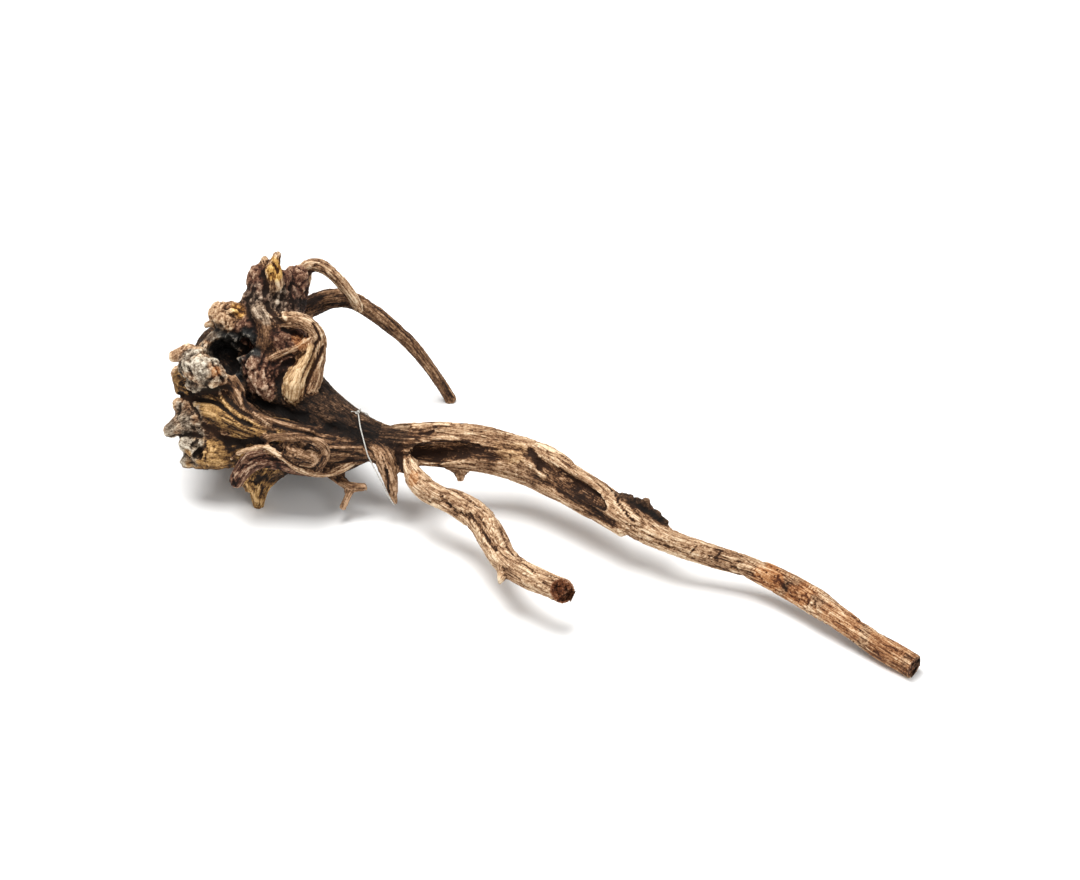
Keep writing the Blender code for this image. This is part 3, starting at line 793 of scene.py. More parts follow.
@dataclass
class RootForm:
    """Builds the skin of the whole root.

    Args:
        cell: size of the cells in which the strands are fused, in millimetres.
        tube_detail: roundness of the strands before they are fused.
        ball_rings: rings of the balls that round their ends.
        long_root: strands of the long root.
        side_roots: strands of the side roots.
        trunk: strands of the body and the neck.
        crown: strands of the crown.
        cuts: the sawn ends.
    """

    cell: float = 1.3
    tube_detail: int = 4
    ball_rings: int = 12
    long_root: LongRoot = field(default_factory=LongRoot)
    side_roots: SideRoots = field(default_factory=SideRoots)
    trunk: Trunk = field(default_factory=Trunk)
    crown: Crown = field(default_factory=Crown)
    cuts: tuple[SawCut, ...] = (
        SawCut((217.0, -128.0, 8.0), (0.752, -0.659, 0.0), 0.35),
        SawCut((13.0, -86.0, 30.0), (0.508, -0.759, 0.408)))

    def strands(self) -> list[Strand]:
        """Every strand of wood."""
        parts = (self.long_root, self.side_roots, self.trunk, self.crown)
        return [strand for part in parts for strand in part.strands()]

    def fused(self, name: str, strands: Iterable[Strand]) -> bpy.types.Object:
        """Fuse strands into one skin of equal cells.

        Args:
            name: name of the new object.
            strands: the runs of wood.

        Returns:
            A mesh object in millimetres.
        """
        curve = bpy.data.curves.new(name, "CURVE")
        curve.dimensions = "3D"
        curve.bevel_depth = 1.0
        curve.bevel_resolution = self.tube_detail
        curve.use_fill_caps = True
        balls = bmesh.new()
        for strand in strands:
            spline = curve.splines.new("BEZIER")
            spline.bezier_points.add(len(strand.knots) - 1)
            for knot, (x, y, z, radius) in zip(spline.bezier_points, strand.knots):
                knot.co = (x, y, z)
                knot.radius = radius
                knot.handle_left_type = "AUTO"
                knot.handle_right_type = "AUTO"
            for x, y, z, radius in (strand.knots[0], strand.knots[-1]):
                balls.from_mesh(self.ball(Vector((x, y, z)), radius))
        holder = linked(bpy.data.objects.new(name, curve))
        tubes = evaluated(holder)
        bpy.data.objects.remove(holder, do_unlink=True)
        balls.from_mesh(tubes)
        thing = linked(bpy.data.objects.new(name, meshed(balls, name)))
        self.even(thing)
        return thing

    def ball(self, centre: Vector, radius: float) -> bpy.types.Mesh:
        """A ball that rounds the end of a strand.

        Args:
            centre: its middle, in millimetres.
            radius: radius of the strand there.

        Returns:
            A mesh in millimetres.
        """
        shape = bmesh.new()
        bmesh.ops.create_uvsphere(shape, u_segments=2 * self.ball_rings, v_segments=self.ball_rings,
                                  radius=radius, matrix=Matrix.Translation(centre))
        return meshed(shape, "ball")

    def even(self, thing: bpy.types.Object) -> None:
        """Rebuild a thing's surface as one skin of equal cells.

        Args:
            thing: the mesh object.
        """
        skin = thing.modifiers.new("skin", "REMESH")
        skin.mode = "VOXEL"
        skin.voxel_size = self.cell
        bake_modifiers(thing)

    def build(self) -> bpy.types.Object:
        """Fuse the wood, take the hollows out and saw the ends.

        Returns:
            The root as a mesh object in millimetres.
        """
        root = self.fused("dry_root_wood", self.strands())
        hollows = self.fused("hollows", self.long_root.gouges() + self.crown.gouges())
        taking = root.modifiers.new("hollows", "BOOLEAN")
        taking.operation = "DIFFERENCE"
        taking.solver = "EXACT"
        taking.object = hollows
        bake_modifiers(root)
        bpy.data.objects.remove(hollows, do_unlink=True)
        self.even(root)
        shape = bmesh.new()
        shape.from_mesh(root.data)
        for cut in self.cuts:
            cut.make(shape)
        shape.to_mesh(root.data)
        shape.free()
        return root


def linked(thing: bpy.types.Object) -> bpy.types.Object:
    """Link an object to the scene and return it."""
    bpy.context.scene.collection.objects.link(thing)
    return thing


def evaluated(thing: bpy.types.Object) -> bpy.types.Mesh:
    """The mesh that an object's curve or modifiers make."""
    return bpy.data.meshes.new_from_object(thing.evaluated_get(bpy.context.evaluated_depsgraph_get()))


def bake_modifiers(thing: bpy.types.Object) -> None:
    """Replace an object's mesh by the one its modifiers make.

    Args:
        thing: the object.
    """
    bpy.context.view_layer.update()
    made = evaluated(thing)
    thing.modifiers.clear()
    thing.data = made


# ----------------------------------------------------------------------------------------------------
# Carving: what weather, growth and tools left on the skin
# ----------------------------------------------------------------------------------------------------

# Creases, ridges and the eye of the burl, and the painted shadow in the deep groove below it
BURL_LINES: tuple[Stroke, ...] = (
    Stroke(((-142, 78, 113), (-139, 76, 109), (-138, 74, 104), (-141, 74, 100)), 1.6, -1.2, -0.5),
    Stroke(((-136, 74, 98), (-138, 72, 93), (-141, 71, 88), (-144, 68, 83), (-147, 65, 77)),
        1.4, -1.0, -0.45),
    Stroke(((-141, 73, 98), (-143, 70, 93), (-146, 67, 88), (-149, 62, 82)), 1.2, -0.8, -0.35),
    Stroke(((-139, 73, 99), (-142, 72, 92), (-145, 68, 86), (-148, 63, 80), (-150, 60, 76)), 1.5, 0.6, 0.3),
    Stroke(((-162, 81, 107), (-157, 80, 105), (-151, 82, 103), (-146, 76, 105)), 1.8, -1.5, -0.6),
    Stroke(((-163, 72, 84), (-159, 73, 86), (-154, 70, 89)), 3.0, -1.0, -0.5),
    Stroke(((-152, 72, 91), (-148, 71, 96)), 1.4, -1.5, -0.6),
    Stroke(((-166, 69, 80), (-165, 73, 84), (-163, 74, 88), (-158, 75, 90), (-153, 74, 90)),
        1.2, 0.8, 0.35),
    Stroke(((-163, 69, 80), (-164, 66, 75), (-164, 61, 71), (-161, 58, 67)), 1.5, -1.5, -0.5),
    Stroke(((-174, 71, 88), (-177, 65, 84), (-178, 63, 77), (-174, 59, 72)), 1.2, -0.5, -0.3),
    Stroke(((-170, 73, 88), (-172, 67, 85), (-171, 63, 78), (-167, 61, 72)), 1.2, -0.5, -0.3),
    Stroke(((-179, 65, 84), (-180, 62, 77), (-177, 60, 71)), 1.3, 0.7, 0.3),
    Stroke(((-173, 69, 87), (-174, 64, 81), (-171, 60, 71)), 1.2, 0.7, 0.3),
    # Painted shadow of the overhanging burl along the groove below it
    Stroke(((-183, 51, 76), (-178, 62, 64), (-169, 58, 62), (-160, 55, 60), (-149, 52, 60)),
        5.0, -2.0, -0.6),
    Stroke(((-181, 46, 73), (-169, 43, 69), (-156, 42, 64), (-142, 38, 63), (-129, 44, 56)),
        6.0, -1.5, -0.5),
)

# Ribs and slits of the fan of fibres, and the recess below it with painted shade
FLANK_LINES: tuple[Stroke, ...] = (
    Stroke(((-220, 59, 69), (-210, 54, 71), (-203, 51, 72), (-197, 46, 70), (-189, 40, 67), (-180, 37, 64)),
        1.8, -1.6, -0.5),
    Stroke(((-220, 62, 71), (-209, 54, 78), (-201, 53, 80), (-193, 54, 80)), 3.6, -1.2, -0.5),
    Stroke(((-201, 55, 76), (-198, 50, 73), (-194, 46, 70), (-188, 42, 68), (-180, 39, 65), (-173, 35, 63)),
        1.2, 1.0, 0.35),
    Stroke(((-196, 53, 74), (-192, 48, 72), (-186, 44, 69), (-179, 40, 67)), 1.3, -1.0, -0.5),
    Stroke(((-192, 54, 81), (-188, 51, 78), (-186, 47, 73)), 1.8, 1.0, 0.25),
    Stroke(((-185, 53, 78), (-184, 47, 74), (-180, 43, 71)), 2.2, -1.2, -0.6),
    Stroke(((-182, 45, 73), (-178, 41, 70), (-173, 38, 68), (-168, 35, 65)), 1.3, 1.0, 0.5),
    Stroke(((-209, 46, 68), (-204, 43, 66), (-198, 41, 61)), 4.5, 0.3, 0.18),
    Stroke(((-191, 38, 66), (-183, 35, 63), (-175, 32, 60)), 3.0, 0.3, 0.14),
    Stroke(((-211, 45, 58), (-205, 43, 55), (-199, 42, 51)), 2.4, -1.5, -0.8),
    # Painted shade in the recess below the fan
    Stroke(((-197, 40, 50), (-188, 39, 50), (-177, 33, 55), (-171, 24, 60)), 3.8, -1.5, -0.7),
    Stroke(((-193, 36, 46), (-186, 37, 48)), 2.6, -0.5, -0.5),
    Stroke(((-194, 39, 62), (-185, 35, 60), (-175, 30, 58)), 1.1, -0.9, -0.4),
    Stroke(((-198, 41, 68), (-188, 37, 65), (-178, 33, 62)), 1.0, -0.8, -0.35),
    Stroke(((-166, 35, 65), (-155, 33, 63), (-141, 32, 60), (-128, 35, 55)), 1.4, -1.0, -0.4),
    Stroke(((-163, 32, 62), (-147, 19, 67), (-134, 20, 64)), 1.1, 0.7, 0.2),
    Stroke(((-130, 28, 51), (-121, 30, 48), (-111, 31, 45)), 1.4, -0.9, -0.4),
    Stroke(((-128, 29, 41), (-119, 31, 41), (-110, 35, 36)), 1.2, -0.9, -0.4),
)

# Clefts, holes and edges of the knobs and stubs on the left
LEFT_LINES: tuple[Stroke, ...] = (
    Stroke(((-220, 57, 67), (-215, 49, 66), (-213, 46, 62)), 1.3, -1.0, -0.5),
    Stroke(((-229, 68, 66), (-224, 62, 68), (-221, 60, 68)), 2.4, -1.5, -0.7),
    Stroke(((-229, 51, 60), (-227, 57, 63), (-225, 60, 67)), 1.2, -0.7, -0.35),
    Stroke(((-235, 51, 45), (-228, 48, 47), (-220, 47, 50), (-213, 43, 51)), 1.8, -1.2, -0.6),
    Stroke(((-219, 39, 46), (-216, 41, 50)), 2.0, -1.8, -0.8),
    Stroke(((-218, 35, 41), (-215, 39, 42), (-212, 36, 46)), 2.3, -2.0, -0.8),
    Stroke(((-197, 40, 50), (-195, 36, 45), (-189, 20, 52)), 2.6, -0.8, -0.4),
    # Painted shade along the underside of the stub
    Stroke(((-225, 39, 29), (-218, 39, 29), (-208, 38, 29), (-202, 37, 29)), 2.6, 0.0, -0.4),
    Stroke(((-206, 41, 49), (-203, 34, 42), (-200, 37, 30)), 4.0, 0.3, 0.15),
    Stroke(((-210, 40, 50), (-209, 34, 45), (-211, 33, 38)), 1.2, -0.8, -0.35),
    Stroke(((-225, 60, 95), (-225, 58, 87), (-226, 67, 74)), 2.6, 0.0, -0.25),
    Stroke(((-221, 54, 92), (-224, 67, 74), (-222, 62, 69)), 1.1, 0.6, 0.35),
    Stroke(((-204, 57, 99), (-200, 53, 92), (-197, 54, 85)), 1.2, -0.8, -0.5),
    Stroke(((-219, 53, 97), (-216, 51, 90), (-219, 55, 79)), 1.2, -0.8, -0.45),
)

# Claw, rings of the eye knot, spike and underside
CLAW_LINES: tuple[Stroke, ...] = (
    Stroke(((-194, 20, 32), (-190, 17, 32), (-188, 17, 36)), 3.6, -0.5, -0.5),
    Stroke(((-192, 20, 38), (-190, 18, 30)), 1.5, -1.2, -0.5),
    Stroke(((-166, 19, 50), (-174, 20, 52), (-182, 19, 49), (-187, 19, 42)), 1.1, -0.7, -0.35),
    Stroke(((-168, 19, 48), (-176, 19, 48), (-181, 18, 44), (-185, 18, 35)), 1.1, 0.5, 0.25),
    Stroke(((-169, 19, 44), (-176, 32, 31), (-180, 33, 22)), 2.2, -0.4, -0.55),
    Stroke(((-145, 20, 58), (-142, 28, 56), (-138, 22, 56)), 2.0, -1.6, -0.8),
    Stroke(((-164, 28, 54), (-159, 17, 54), (-153, 16, 49), (-145, 18, 44), (-137, 19, 47), (-134, 19, 53)),
        1.1, -0.8, -0.45),
    Stroke(((-154, 20, 60), (-153, 16, 55), (-148, 16, 50), (-142, 15, 50), (-138, 17, 53)),
        1.0, -0.7, -0.4),
    Stroke(((-158, 27, 58), (-148, 19, 64), (-139, 17, 64), (-134, 18, 59)), 1.0, -0.7, -0.35),
    Stroke(((-141, 17, 56), (-138, 16, 52), (-141, 15, 49)), 1.8, 0.6, 0.35),
    Stroke(((-163, 18, 47), (-160, 34, 30), (-149, 45, 19), (-137, 23, 34), (-128, 32, 25)),
        2.8, -0.4, -0.55),
    Stroke(((-185, 33, 21), (-182, 34, 12), (-180, 34, 7)), 2.0, 0.6, 0.4),
    Stroke(((-177, 31, 27), (-175, 32, 19), (-177, 33, 10)), 2.6, -0.5, -0.6),
    Stroke(((-173, 31, 27), (-167, 35, 21), (-162, 36, 25)), 5.0, 0.0, -0.5),
    Stroke(((-162, 36, 25), (-157, 48, 18)), 1.8, 0.3, 0.5),
)

# Torn tip, ridges and clefts of the top lobe, painted glints on the charcoal in the charred hollow
TOP_LINES: tuple[Stroke, ...] = (
    Stroke(((-168, 103, 142), (-165, 102, 138), (-164, 101, 136)), 1.1, -1.5, -0.8),
    Stroke(((-163, 106, 144), (-163, 105, 140), (-162, 113, 129)), 1.3, -0.8, -0.7),
    Stroke(((-172, 103, 138), (-169, 101, 135)), 0.9, -0.6, -0.4),
    Stroke(((-166, 100, 131), (-165, 104, 120), (-166, 98, 116), (-162, 88, 115), (-159, 81, 114)),
        2.0, 1.0, 0.4),
    Stroke(((-161, 123, 120), (-158, 109, 119), (-157, 104, 114)), 1.7, -1.5, -0.6),
    Stroke(((-174, 104, 134), (-172, 100, 128), (-173, 97, 122)), 2.6, -1.2, -0.5),
    Stroke(((-171, 94, 118), (-168, 90, 113), (-163, 82, 111)), 2.2, -1.2, -0.55),
    Stroke(((-187, 97, 119), (-182, 97, 121), (-181, 100, 126)), 1.3, -0.8, -0.4),
    Stroke(((-165, 97, 114), (-163, 85, 115)), 2.0, -1.0, -0.6),
    Stroke(((-181, 105, 134), (-179, 104, 129)), 3.0, 0.0, 0.3),
    Stroke(((-181, 93, 117), (-177, 85, 113)), 2.0, 0.5, 0.3),
    Stroke(((-174, 90, 117), (-170, 86, 113)), 1.2, 0.6, 0.35),
    Stroke(((-157, 124, 120), (-154, 120, 116)), 2.0, 0.4, 0.3),
    # Painted shade where the thin root leaves the top lobe
    Stroke(((-157, 104, 112), (-151, 110, 106), (-149, 146, 86)), 5.0, 0.0, -0.5),
    Stroke(((-185, 96, 118), (-184, 92, 113), (-181, 87, 109)), 1.6, -1.0, -0.5),
    Stroke(((-202, 91, 115), (-198, 87, 112)), 4.0, 0.0, 0.15),
    # Painted glints on the glossy charcoal
    Stroke(((-191, 88, 86),), 1.6, 0.2, 1.2),
    Stroke(((-191, 77, 87),), 1.3, 0.2, 1.1),
    Stroke(((-201, 88, 104),), 1.2, 0.2, 0.9),
    # Painted shade where the twig and the thin root leave the lobe
    Stroke(((-150, 123, 109), (-149, 130, 112), (-147, 139, 113)), 4.0, 0.0, -0.5),
    Stroke(((-150, 117, 105), (-145, 149, 88)), 5.0, 0.0, -0.35),
)

# Hollows, cracks and flakes of the long root, the neck, the front root and the splinter
ROOT_LINES: tuple[Stroke, ...] = (
    # Painted shade deep in the first hollow, over its own dark brown
    Stroke(((-76, 39, 42), (-66, 39, 41), (-53, 37, 43), (-40, 33, 45), (-31, 30, 45)), 8.0, 0.0, -0.5),
    Stroke(((-62, 37, 52), (-50, 36, 52), (-37, 34, 50), (-27, 31, 50)), 1.4, -0.6, -0.45),
    Stroke(((-75, 41, 55), (-70, 41, 55), (-67, 42, 56)), 1.5, -1.0, -0.7),
    Stroke(((-126, 43, 56), (-112, 41, 54), (-97, 38, 54), (-82, 36, 53)), 11.0, 0.0, -0.42),
    Stroke(((-6, 27, 51), (-3, 23, 48), (0, 19, 45)), 3.6, -1.5, -0.7),
    Stroke(((4, 18, 45), (11, 14, 43)), 4.0, 0.0, -0.4),
    Stroke(((10, 11, 40), (20, 5, 37), (31, -5, 37), (40, -19, 38)), 6.5, 0.0, -0.2),
    # Painted shade under the upper lip of the second hollow
    Stroke(((13, 14, 47), (22, 9, 42), (31, 1, 41), (39, -11, 41)), 2.0, -0.4, -0.35),
    Stroke(((45, -2, 42), (48, -15, 42), (53, -24, 40), (57, -28, 38)), 1.1, -1.2, -0.6),
    Stroke(((51, -10, 44), (58, -17, 40), (68, -21, 39), (75, -26, 37)), 5.0, 0.0, -0.35),
    Stroke(((91, -46, 27), (94, -44, 31)), 0.9, -0.9, -0.5),
    Stroke(((106, -50, 27), (110, -46, 30)), 0.9, -0.9, -0.5),
    Stroke(((128, -57, 25), (131, -60, 22), (135, -63, 19)), 0.8, -0.6, -0.5),
    Stroke(((142, -63, 24), (144, -68, 22), (147, -72, 19)), 0.8, -0.6, -0.5),
    Stroke(((158, -78, 22), (159, -82, 20), (158, -85, 16)), 0.8, -0.6, -0.45),
    Stroke(((147, -70, 23),), 1.2, -1.0, -0.8),
    Stroke(((171, -93, 19), (180, -100, 18), (187, -108, 15)), 1.2, 0.4, 0.3),
    Stroke(((-43, -20, 38), (-37, -32, 38), (-31, -46, 37), (-26, -55, 36)), 1.4, -1.2, -0.6),
    Stroke(((-34, -28, 39), (-27, -39, 39), (-22, -53, 38)), 1.2, 0.5, 0.25),
    Stroke(((-61, -4, 39), (-55, -10, 36)), 1.4, -0.8, -0.5),
    Stroke(((-96, 21, 41), (-95, 18, 35), (-95, 18, 25)), 1.2, -1.5, -0.7),
    Stroke(((-100, 27, 50), (-98, 22, 43), (-98, 20, 35)), 1.0, 0.6, 0.3),
    Stroke(((-88, 34, 50), (-87, 29, 42), (-85, 20, 38)), 2.2, -0.8, -0.6),
)

# Whole parts made darker or lighter: thin root, knobs, torn tip, rim and tongue of the burl, root ends
SHADES: tuple[Stroke, ...] = (
    Stroke(((-155, 148, 82), (-123, 155, 82), (-100, 157, 62), (-87, 158, 47), (-61, 158, 2)),
        11.0, 0.0, -0.22),
    Stroke(((-213, 54, 93),), 22.0, 0.0, 0.05),
    Stroke(((-167, 102, 138),), 12.0, 0.0, -0.14),
    Stroke(((-190, 94, 112), (-202, 94, 112)), 11.0, 0.0, -0.02),
    Stroke(((-145, 74, 100), (-152, 68, 86), (-156, 60, 72)), 9.0, 0.0, 0.24),
    Stroke(((-177, 66, 86), (-174, 62, 76)), 13.0, 0.0, 0.16),
    Stroke(((-214, 42, 44), (-204, 42, 40)), 15.0, 0.0, 0.12),
    Stroke(((-176, 32, 30), (-180, 34, 8)), 12.0, 0.0, 0.16),
    Stroke(((-3, 15, 38), (10, 7, 37), (22, -3, 36), (34, -14, 35), (44, -24, 32)), 5.5, -0.3, -0.3),
    Stroke(((-95, 44, 54), (-60, 42, 54), (-20, 36, 50)), 14.0, 0.0, -0.1),
    Stroke(((-160, 84, 112), (-143, 78, 110), (-138, 74, 96), (-143, 66, 80)), 9.0, 0.0, -0.12),
    Stroke(((110, -50, 24), (150, -75, 19), (190, -112, 14), (226, -140, 8)), 16.0, 0.0, -0.2),
)

STROKES: tuple[Stroke, ...] = (BURL_LINES + FLANK_LINES + LEFT_LINES + CLAW_LINES + TOP_LINES + ROOT_LINES
                               + SHADES)

# Where a finish shows: centre and radius in millimetres, and the share of the finish at the centre
PATCHES: tuple[Patch, ...] = tuple(Patch(finish, *place) for finish, places in (
    # The charred hollow with its rim
    ("charred", (((-198, 86, 92), 13.0), ((-184, 83, 100), 8.5), ((-193, 76, 80), 9.0),
        ((-182, 76, 92), 7.5), ((-204, 84, 101), 8.0, 0.75))),
    # Torn yellow wood
    ("split", (((-167, 102, 138), 8.5), ((-190, 93, 113), 6.5, 0.9))),
    # Red-brown flakes
    ("rusty", (((-150, 76, 101), 6.0, 0.8), ((-201, 53, 94), 4.5, 0.9), ((-80, 11, 41), 6.0, 0.8),
        ((137, -64, 22), 14.0, 0.9), ((152, -76, 19), 13.0, 0.75), ((177, -100, 15), 20.0, 0.55),
        ((203, -121, 11), 20.0, 0.55))),
    # Silver-grey ends of the stubs
    ("grey", (((-221, 50, 60), 15.0, 0.9), ((-234, 51, 51), 11.0, 0.9), ((-222, 41, 46), 13.0, 1.0),
        ((-224, 39, 36), 10.0, 1.0), ((-209, 79, 96), 8.0, 0.8), ((-165, 104, 121), 6.0, 0.7),
        ((-218, 143, 58), 11.0, 0.6), ((-236, 124, 44), 11.0, 0.6), ((-152, 159, 30), 10.0, 0.6),
        ((-229, 93, 13), 10.0, 0.6), ((-176, 96, 116), 16.0, 0.55), ((-160, 108, 108), 12.0, 0.35))),
    # Floor of the long root's second hollow
    ("brown", (((-3, 15, 38), 8.0, 0.9), ((22, -3, 36), 8.0, 0.9), ((34, -14, 35), 8.0, 0.9))),
    # Worn smooth
    ("smooth", (((-19, 28, 49), 10.0, 0.7),)),
    # Neck made darker, and painted shade on the underside
    ("shade", (((-112, 44, 55), 17.0, 0.8), ((-95, 42, 55), 13.0, 0.6), ((-158, 34, 26), 14.0, 0.9),
        ((-136, 36, 30), 12.0, 0.8))),
) for place in places)


@dataclass(frozen=True)
class Relief:
    """One layer of relief.

    Args:
        width: width of its lumps or fibres, in millimetres.
        height: how far it moves the skin, in millimetres, or how strongly it counts.
        seed: picks one of many patterns.
        length: half length over which it is combed along the grain; 0 for round lumps.
    """

    width: float
    height: float
    seed: int
    length: float = 0.0

    def level(self, places: Array, along: Array | None = None) -> Array:
        """The layer at each place.

        Args:
            places: (N, 3) places in millimetres.
            along: (N, 3) unit directions of the grain, for a combed layer.

        Returns:
            N values between -1 and 1.
        """
        if self.length:
            return fibres(places, along, self.width, self.length, self.seed)
        return noise(places, self.width, self.seed)


@dataclass(frozen=True)
class Crust:
    """A layer of chips with creases between them.

    Args:
        width: width of a chip, in millimetres.
        seed: picks one of many patterns.
        rise: how far the chips differ in level, in millimetres.
        crease: depth of the creases, in millimetres.
        crease_width: width of a crease, as a share of a chip.
        shoulder: width of the slope beside it, as a share of a chip.
    """

    width: float
    seed: int
    rise: float
    crease: float
    crease_width: float
    shoulder: float = 0.3

    def height(self, places: Array) -> Array:
        """How far the chips move the skin.

        Args:
            places: (N, 3) places in millimetres.

        Returns:
            N heights in millimetres.
        """
        edge, level = chips(places, self.width, self.seed)
        chip = self.rise * (level - 0.5) * step(0.0, self.shoulder, edge)
        return chip - self.crease * step(self.crease_width, 0.0, edge)


def summed(layers: Iterable[Relief], places: Array, along: Array | None = None) -> Array:
    """Layers of relief added up."""
    return sum(layer.height * layer.level(places, along) for layer in layers)


@dataclass
class Carving:
    """Moves the skin and marks it for the finishes.

    Args:
        uneven: slow swelling of all wood.
        flutes: long flutes of straight wood, with a slot in each: its depth, width and offset.
        lumps: lumps of knobby wood.
        swirl: bends the chips out of their straight lines.
        chunks: large chips of knobby wood.
        threads: coarse and fine fibres of straight wood.
        checks: drying cracks along the grain, and their width.
        grit: fine grain of knobby wood.
        pits: insect and rot holes, and the levels between which they open.
        scales: small chips of knobby wood.
        slim_radius: thinner strands than this, in millimetres, are carved less, down to slim_least.
        saw_plane: how flat a sawn face is, in millimetres.
        stroke_reach: how many half widths from a stroke the skin is looked through.
        depth_slack: how little a stroke minds that it floats above or below the skin.
        crown_tone: how much darker the crown is, and between which X it sets in.
        creases: rounds and limits of the narrow hollows kept for painted shade in the finishes.
        hollows: rounds and limits of the wide ones.
        border: ragged borders of the finishes; border_edge and patch_edge are their softness.
        blotch: gaps in the silver-grey wood; blotch_share is how much of it there is.
        knobby_rounds: rounds of evening where knobby wood meets straight wood.
        slim_rounds: the same for slimness, flow_rounds for the run of the fibres.
    """

    uneven: Relief = Relief(27.0, 0.9, 3)
    flutes: Relief = Relief(6.5, 0.9, 11, 24.0)
    slot: tuple[float, float, float] = (1.1, 0.25, 0.15)
    lumps: tuple[Relief, ...] = (Relief(10.0, 1.0, 21), Relief(5.5, 0.7, 22))
    swirl: Relief = Relief(8.0, 3.0, 23)
    chunks: Crust = Crust(10.0, 26, 2.4, 1.5, 0.2)
    threads: tuple[Relief, ...] = (Relief(2.4, 0.34, 31, 11.0), Relief(1.5, 0.2, 32, 8.0))
    checks: Relief = Relief(4.2, 0.5, 33, 16.0)
    check_width: float = 0.14
    grit: tuple[Relief, ...] = (Relief(3.6, 0.55, 34), Relief(2.0, 0.4, 35))
    pits: Relief = Relief(3.2, 0.9, 36)
    pit_levels: tuple[float, float] = (0.35, 0.75)
    scales: Crust = Crust(4.2, 37, 0.8, 0.5, 0.25)
    slim_radius: float = 8.0
    slim_least: float = 0.35
    saw_plane: float = 0.02
    stroke_reach: float = 2.5
    depth_slack: float = 0.85
    crown_tone: float = -0.11
    crown_start: tuple[float, float] = (-112.0, -140.0)
    creases: tuple[int, float, float] = (6, -1.5, 1.5)
    hollows: tuple[int, float, float] = (90, -3.0, 8.0)
    border: tuple[Relief, ...] = (Relief(7.0, 0.35, 41), Relief(3.0, 0.25, 42))
    border_rounds: int = 14
    border_edge: tuple[float, float] = (0.3, 0.7)
    patch_edge: tuple[float, float] = (1.0, 0.6)
    blotch: tuple[Relief, ...] = (Relief(6.0, 0.9, 43), Relief(2.5, 0.5, 44))
    blotch_share: float = 0.85
    knobby_rounds: int = 8
    slim_rounds: int = 4
    flow_rounds: int = 5

    def work(self, skin: Skin, grain: Grain, cuts: Sequence[SawCut]) -> None:
        """Carve the skin and keep its marks.

        Args:
            skin: the skin to move.
            grain: where its points lie in their strands.
            cuts: the sawn ends, which stay flat.
        """
        sample = grain.nearest(skin.places)
        owner = grain.owner[sample]
        kinds = np.array([strand.knobby for strand in grain.strands])
        knobby = skin.spread(kinds[owner], self.knobby_rounds)
        slim = np.clip(grain.radii[sample] / self.slim_radius, self.slim_least, 1.0)
        slim = skin.spread(slim, self.slim_rounds)
        sawn, dark = self.sawn(skin.places, cuts)
        along = self.flow(skin, grain.along[sample])
        self.form(skin, along, knobby, slim, sawn)
        tone = self.draw(skin, STROKES, sawn)
        along = self.flow(skin, along)
        self.texture(skin, along, knobby, slim, sawn)
        tone += self.crown_tone * step(*self.crown_start, skin.places[:, 0])
        marks = {"tone": tone, "knobby": knobby, "sawn": dark}
        # Narrow and wide hollowness, which the finishes darken as painted shade
        for name, (rounds, low, high) in (("hollow", self.creases), ("deep", self.hollows)):
            marks[name] = np.clip(skin.hollowness(rounds), low, high)
        marks.update(self.shares(skin, grain, owner))
        for name, values in marks.items():
            skin.mark(name, values)

    def sawn(self, places: Array, cuts: Sequence[SawCut]) -> tuple[Array, Array]:
        """Find the sawn faces.

        Args:
            places: (N, 3) places in millimetres.
            cuts: the sawn ends.

        Returns:
            1 on the sawn faces and 0 elsewhere, and how much of the saw-cut finish a place takes.
        """
        found = np.zeros(len(places))
        dark = np.zeros(len(places))
        for cut in cuts:
            offset = places - np.array(cut.centre)
            flat = np.abs(offset @ np.array(cut.normal())) < self.saw_plane
            flat &= np.linalg.norm(offset, axis=1) < cut.reach
            found[flat] = 1.0
            dark[flat] = cut.dark
        return found, dark

    def flow(self, skin: Skin, along: Array) -> Array:
        """Directions of the fibres, evened out and laid into the skin.

        Args:
            skin: the skin.
            along: (N, 3) unit directions of the strands.

        Returns:
            (N, 3) unit directions.
        """
        normal = skin.normals()
        even = skin.spread(along, self.flow_rounds)
        even -= (even * normal).sum(axis=1)[:, None] * normal
        return even / np.maximum(np.linalg.norm(even, axis=1), TINY)[:, None]

    def form(self, skin: Skin, along: Array, knobby: Array, slim: Array, sawn: Array) -> None:
        """Uneven growth, flutes along the fibres, and lumps and chips on the knobs.

        Args:
            skin: the skin to move.
            along: (N, 3) unit directions of the fibres.
            knobby: 0 for straight wood, 1 for knobby wood.
            slim: share of the relief that the strand's thickness bears.
            sawn: 1 where the skin stays.
        """
        places = skin.places
        flutes = self.flutes.level(places, along)
        depth, width, offset = self.slot
        straight = self.flutes.height * flutes - depth * step(width, 0.0, np.abs(flutes + offset))
        swirl = self.swirl
        bent = np.stack([noise(places, swirl.width, swirl.seed + axis) for axis in range(3)], axis=1)
        rough = summed(self.lumps, places) + self.chunks.height(places + swirl.height * bent)
        height = summed([self.uneven], places) + (1.0 - knobby) * straight + knobby * rough
        skin.store(places + ((1.0 - sawn) * slim * height)[:, None] * skin.normals())

    def texture(self, skin: Skin, along: Array, knobby: Array, slim: Array, sawn: Array) -> None:
        """Fibres and drying cracks on straight wood; grit, pits and small chips on knobby wood.

        Args:
            skin: the skin to move.
            along: (N, 3) unit directions of the fibres.
            knobby: 0 for straight wood, 1 for knobby wood.
            slim: share of the relief that the strand's thickness bears.
            sawn: 1 where the skin stays.
        """
        places = skin.places
        cracks = step(self.check_width, 0.0, np.abs(self.checks.level(places, along)))
        straight = summed(self.threads, places, along) - self.checks.height * cracks
        rough = summed(self.grit, places) + self.scales.height(places)
        rough -= self.pits.height * step(*self.pit_levels, self.pits.level(places))
        height = (1.0 - knobby) * straight + knobby * rough
        skin.store(places + ((1.0 - sawn) * slim * height)[:, None] * skin.normals())

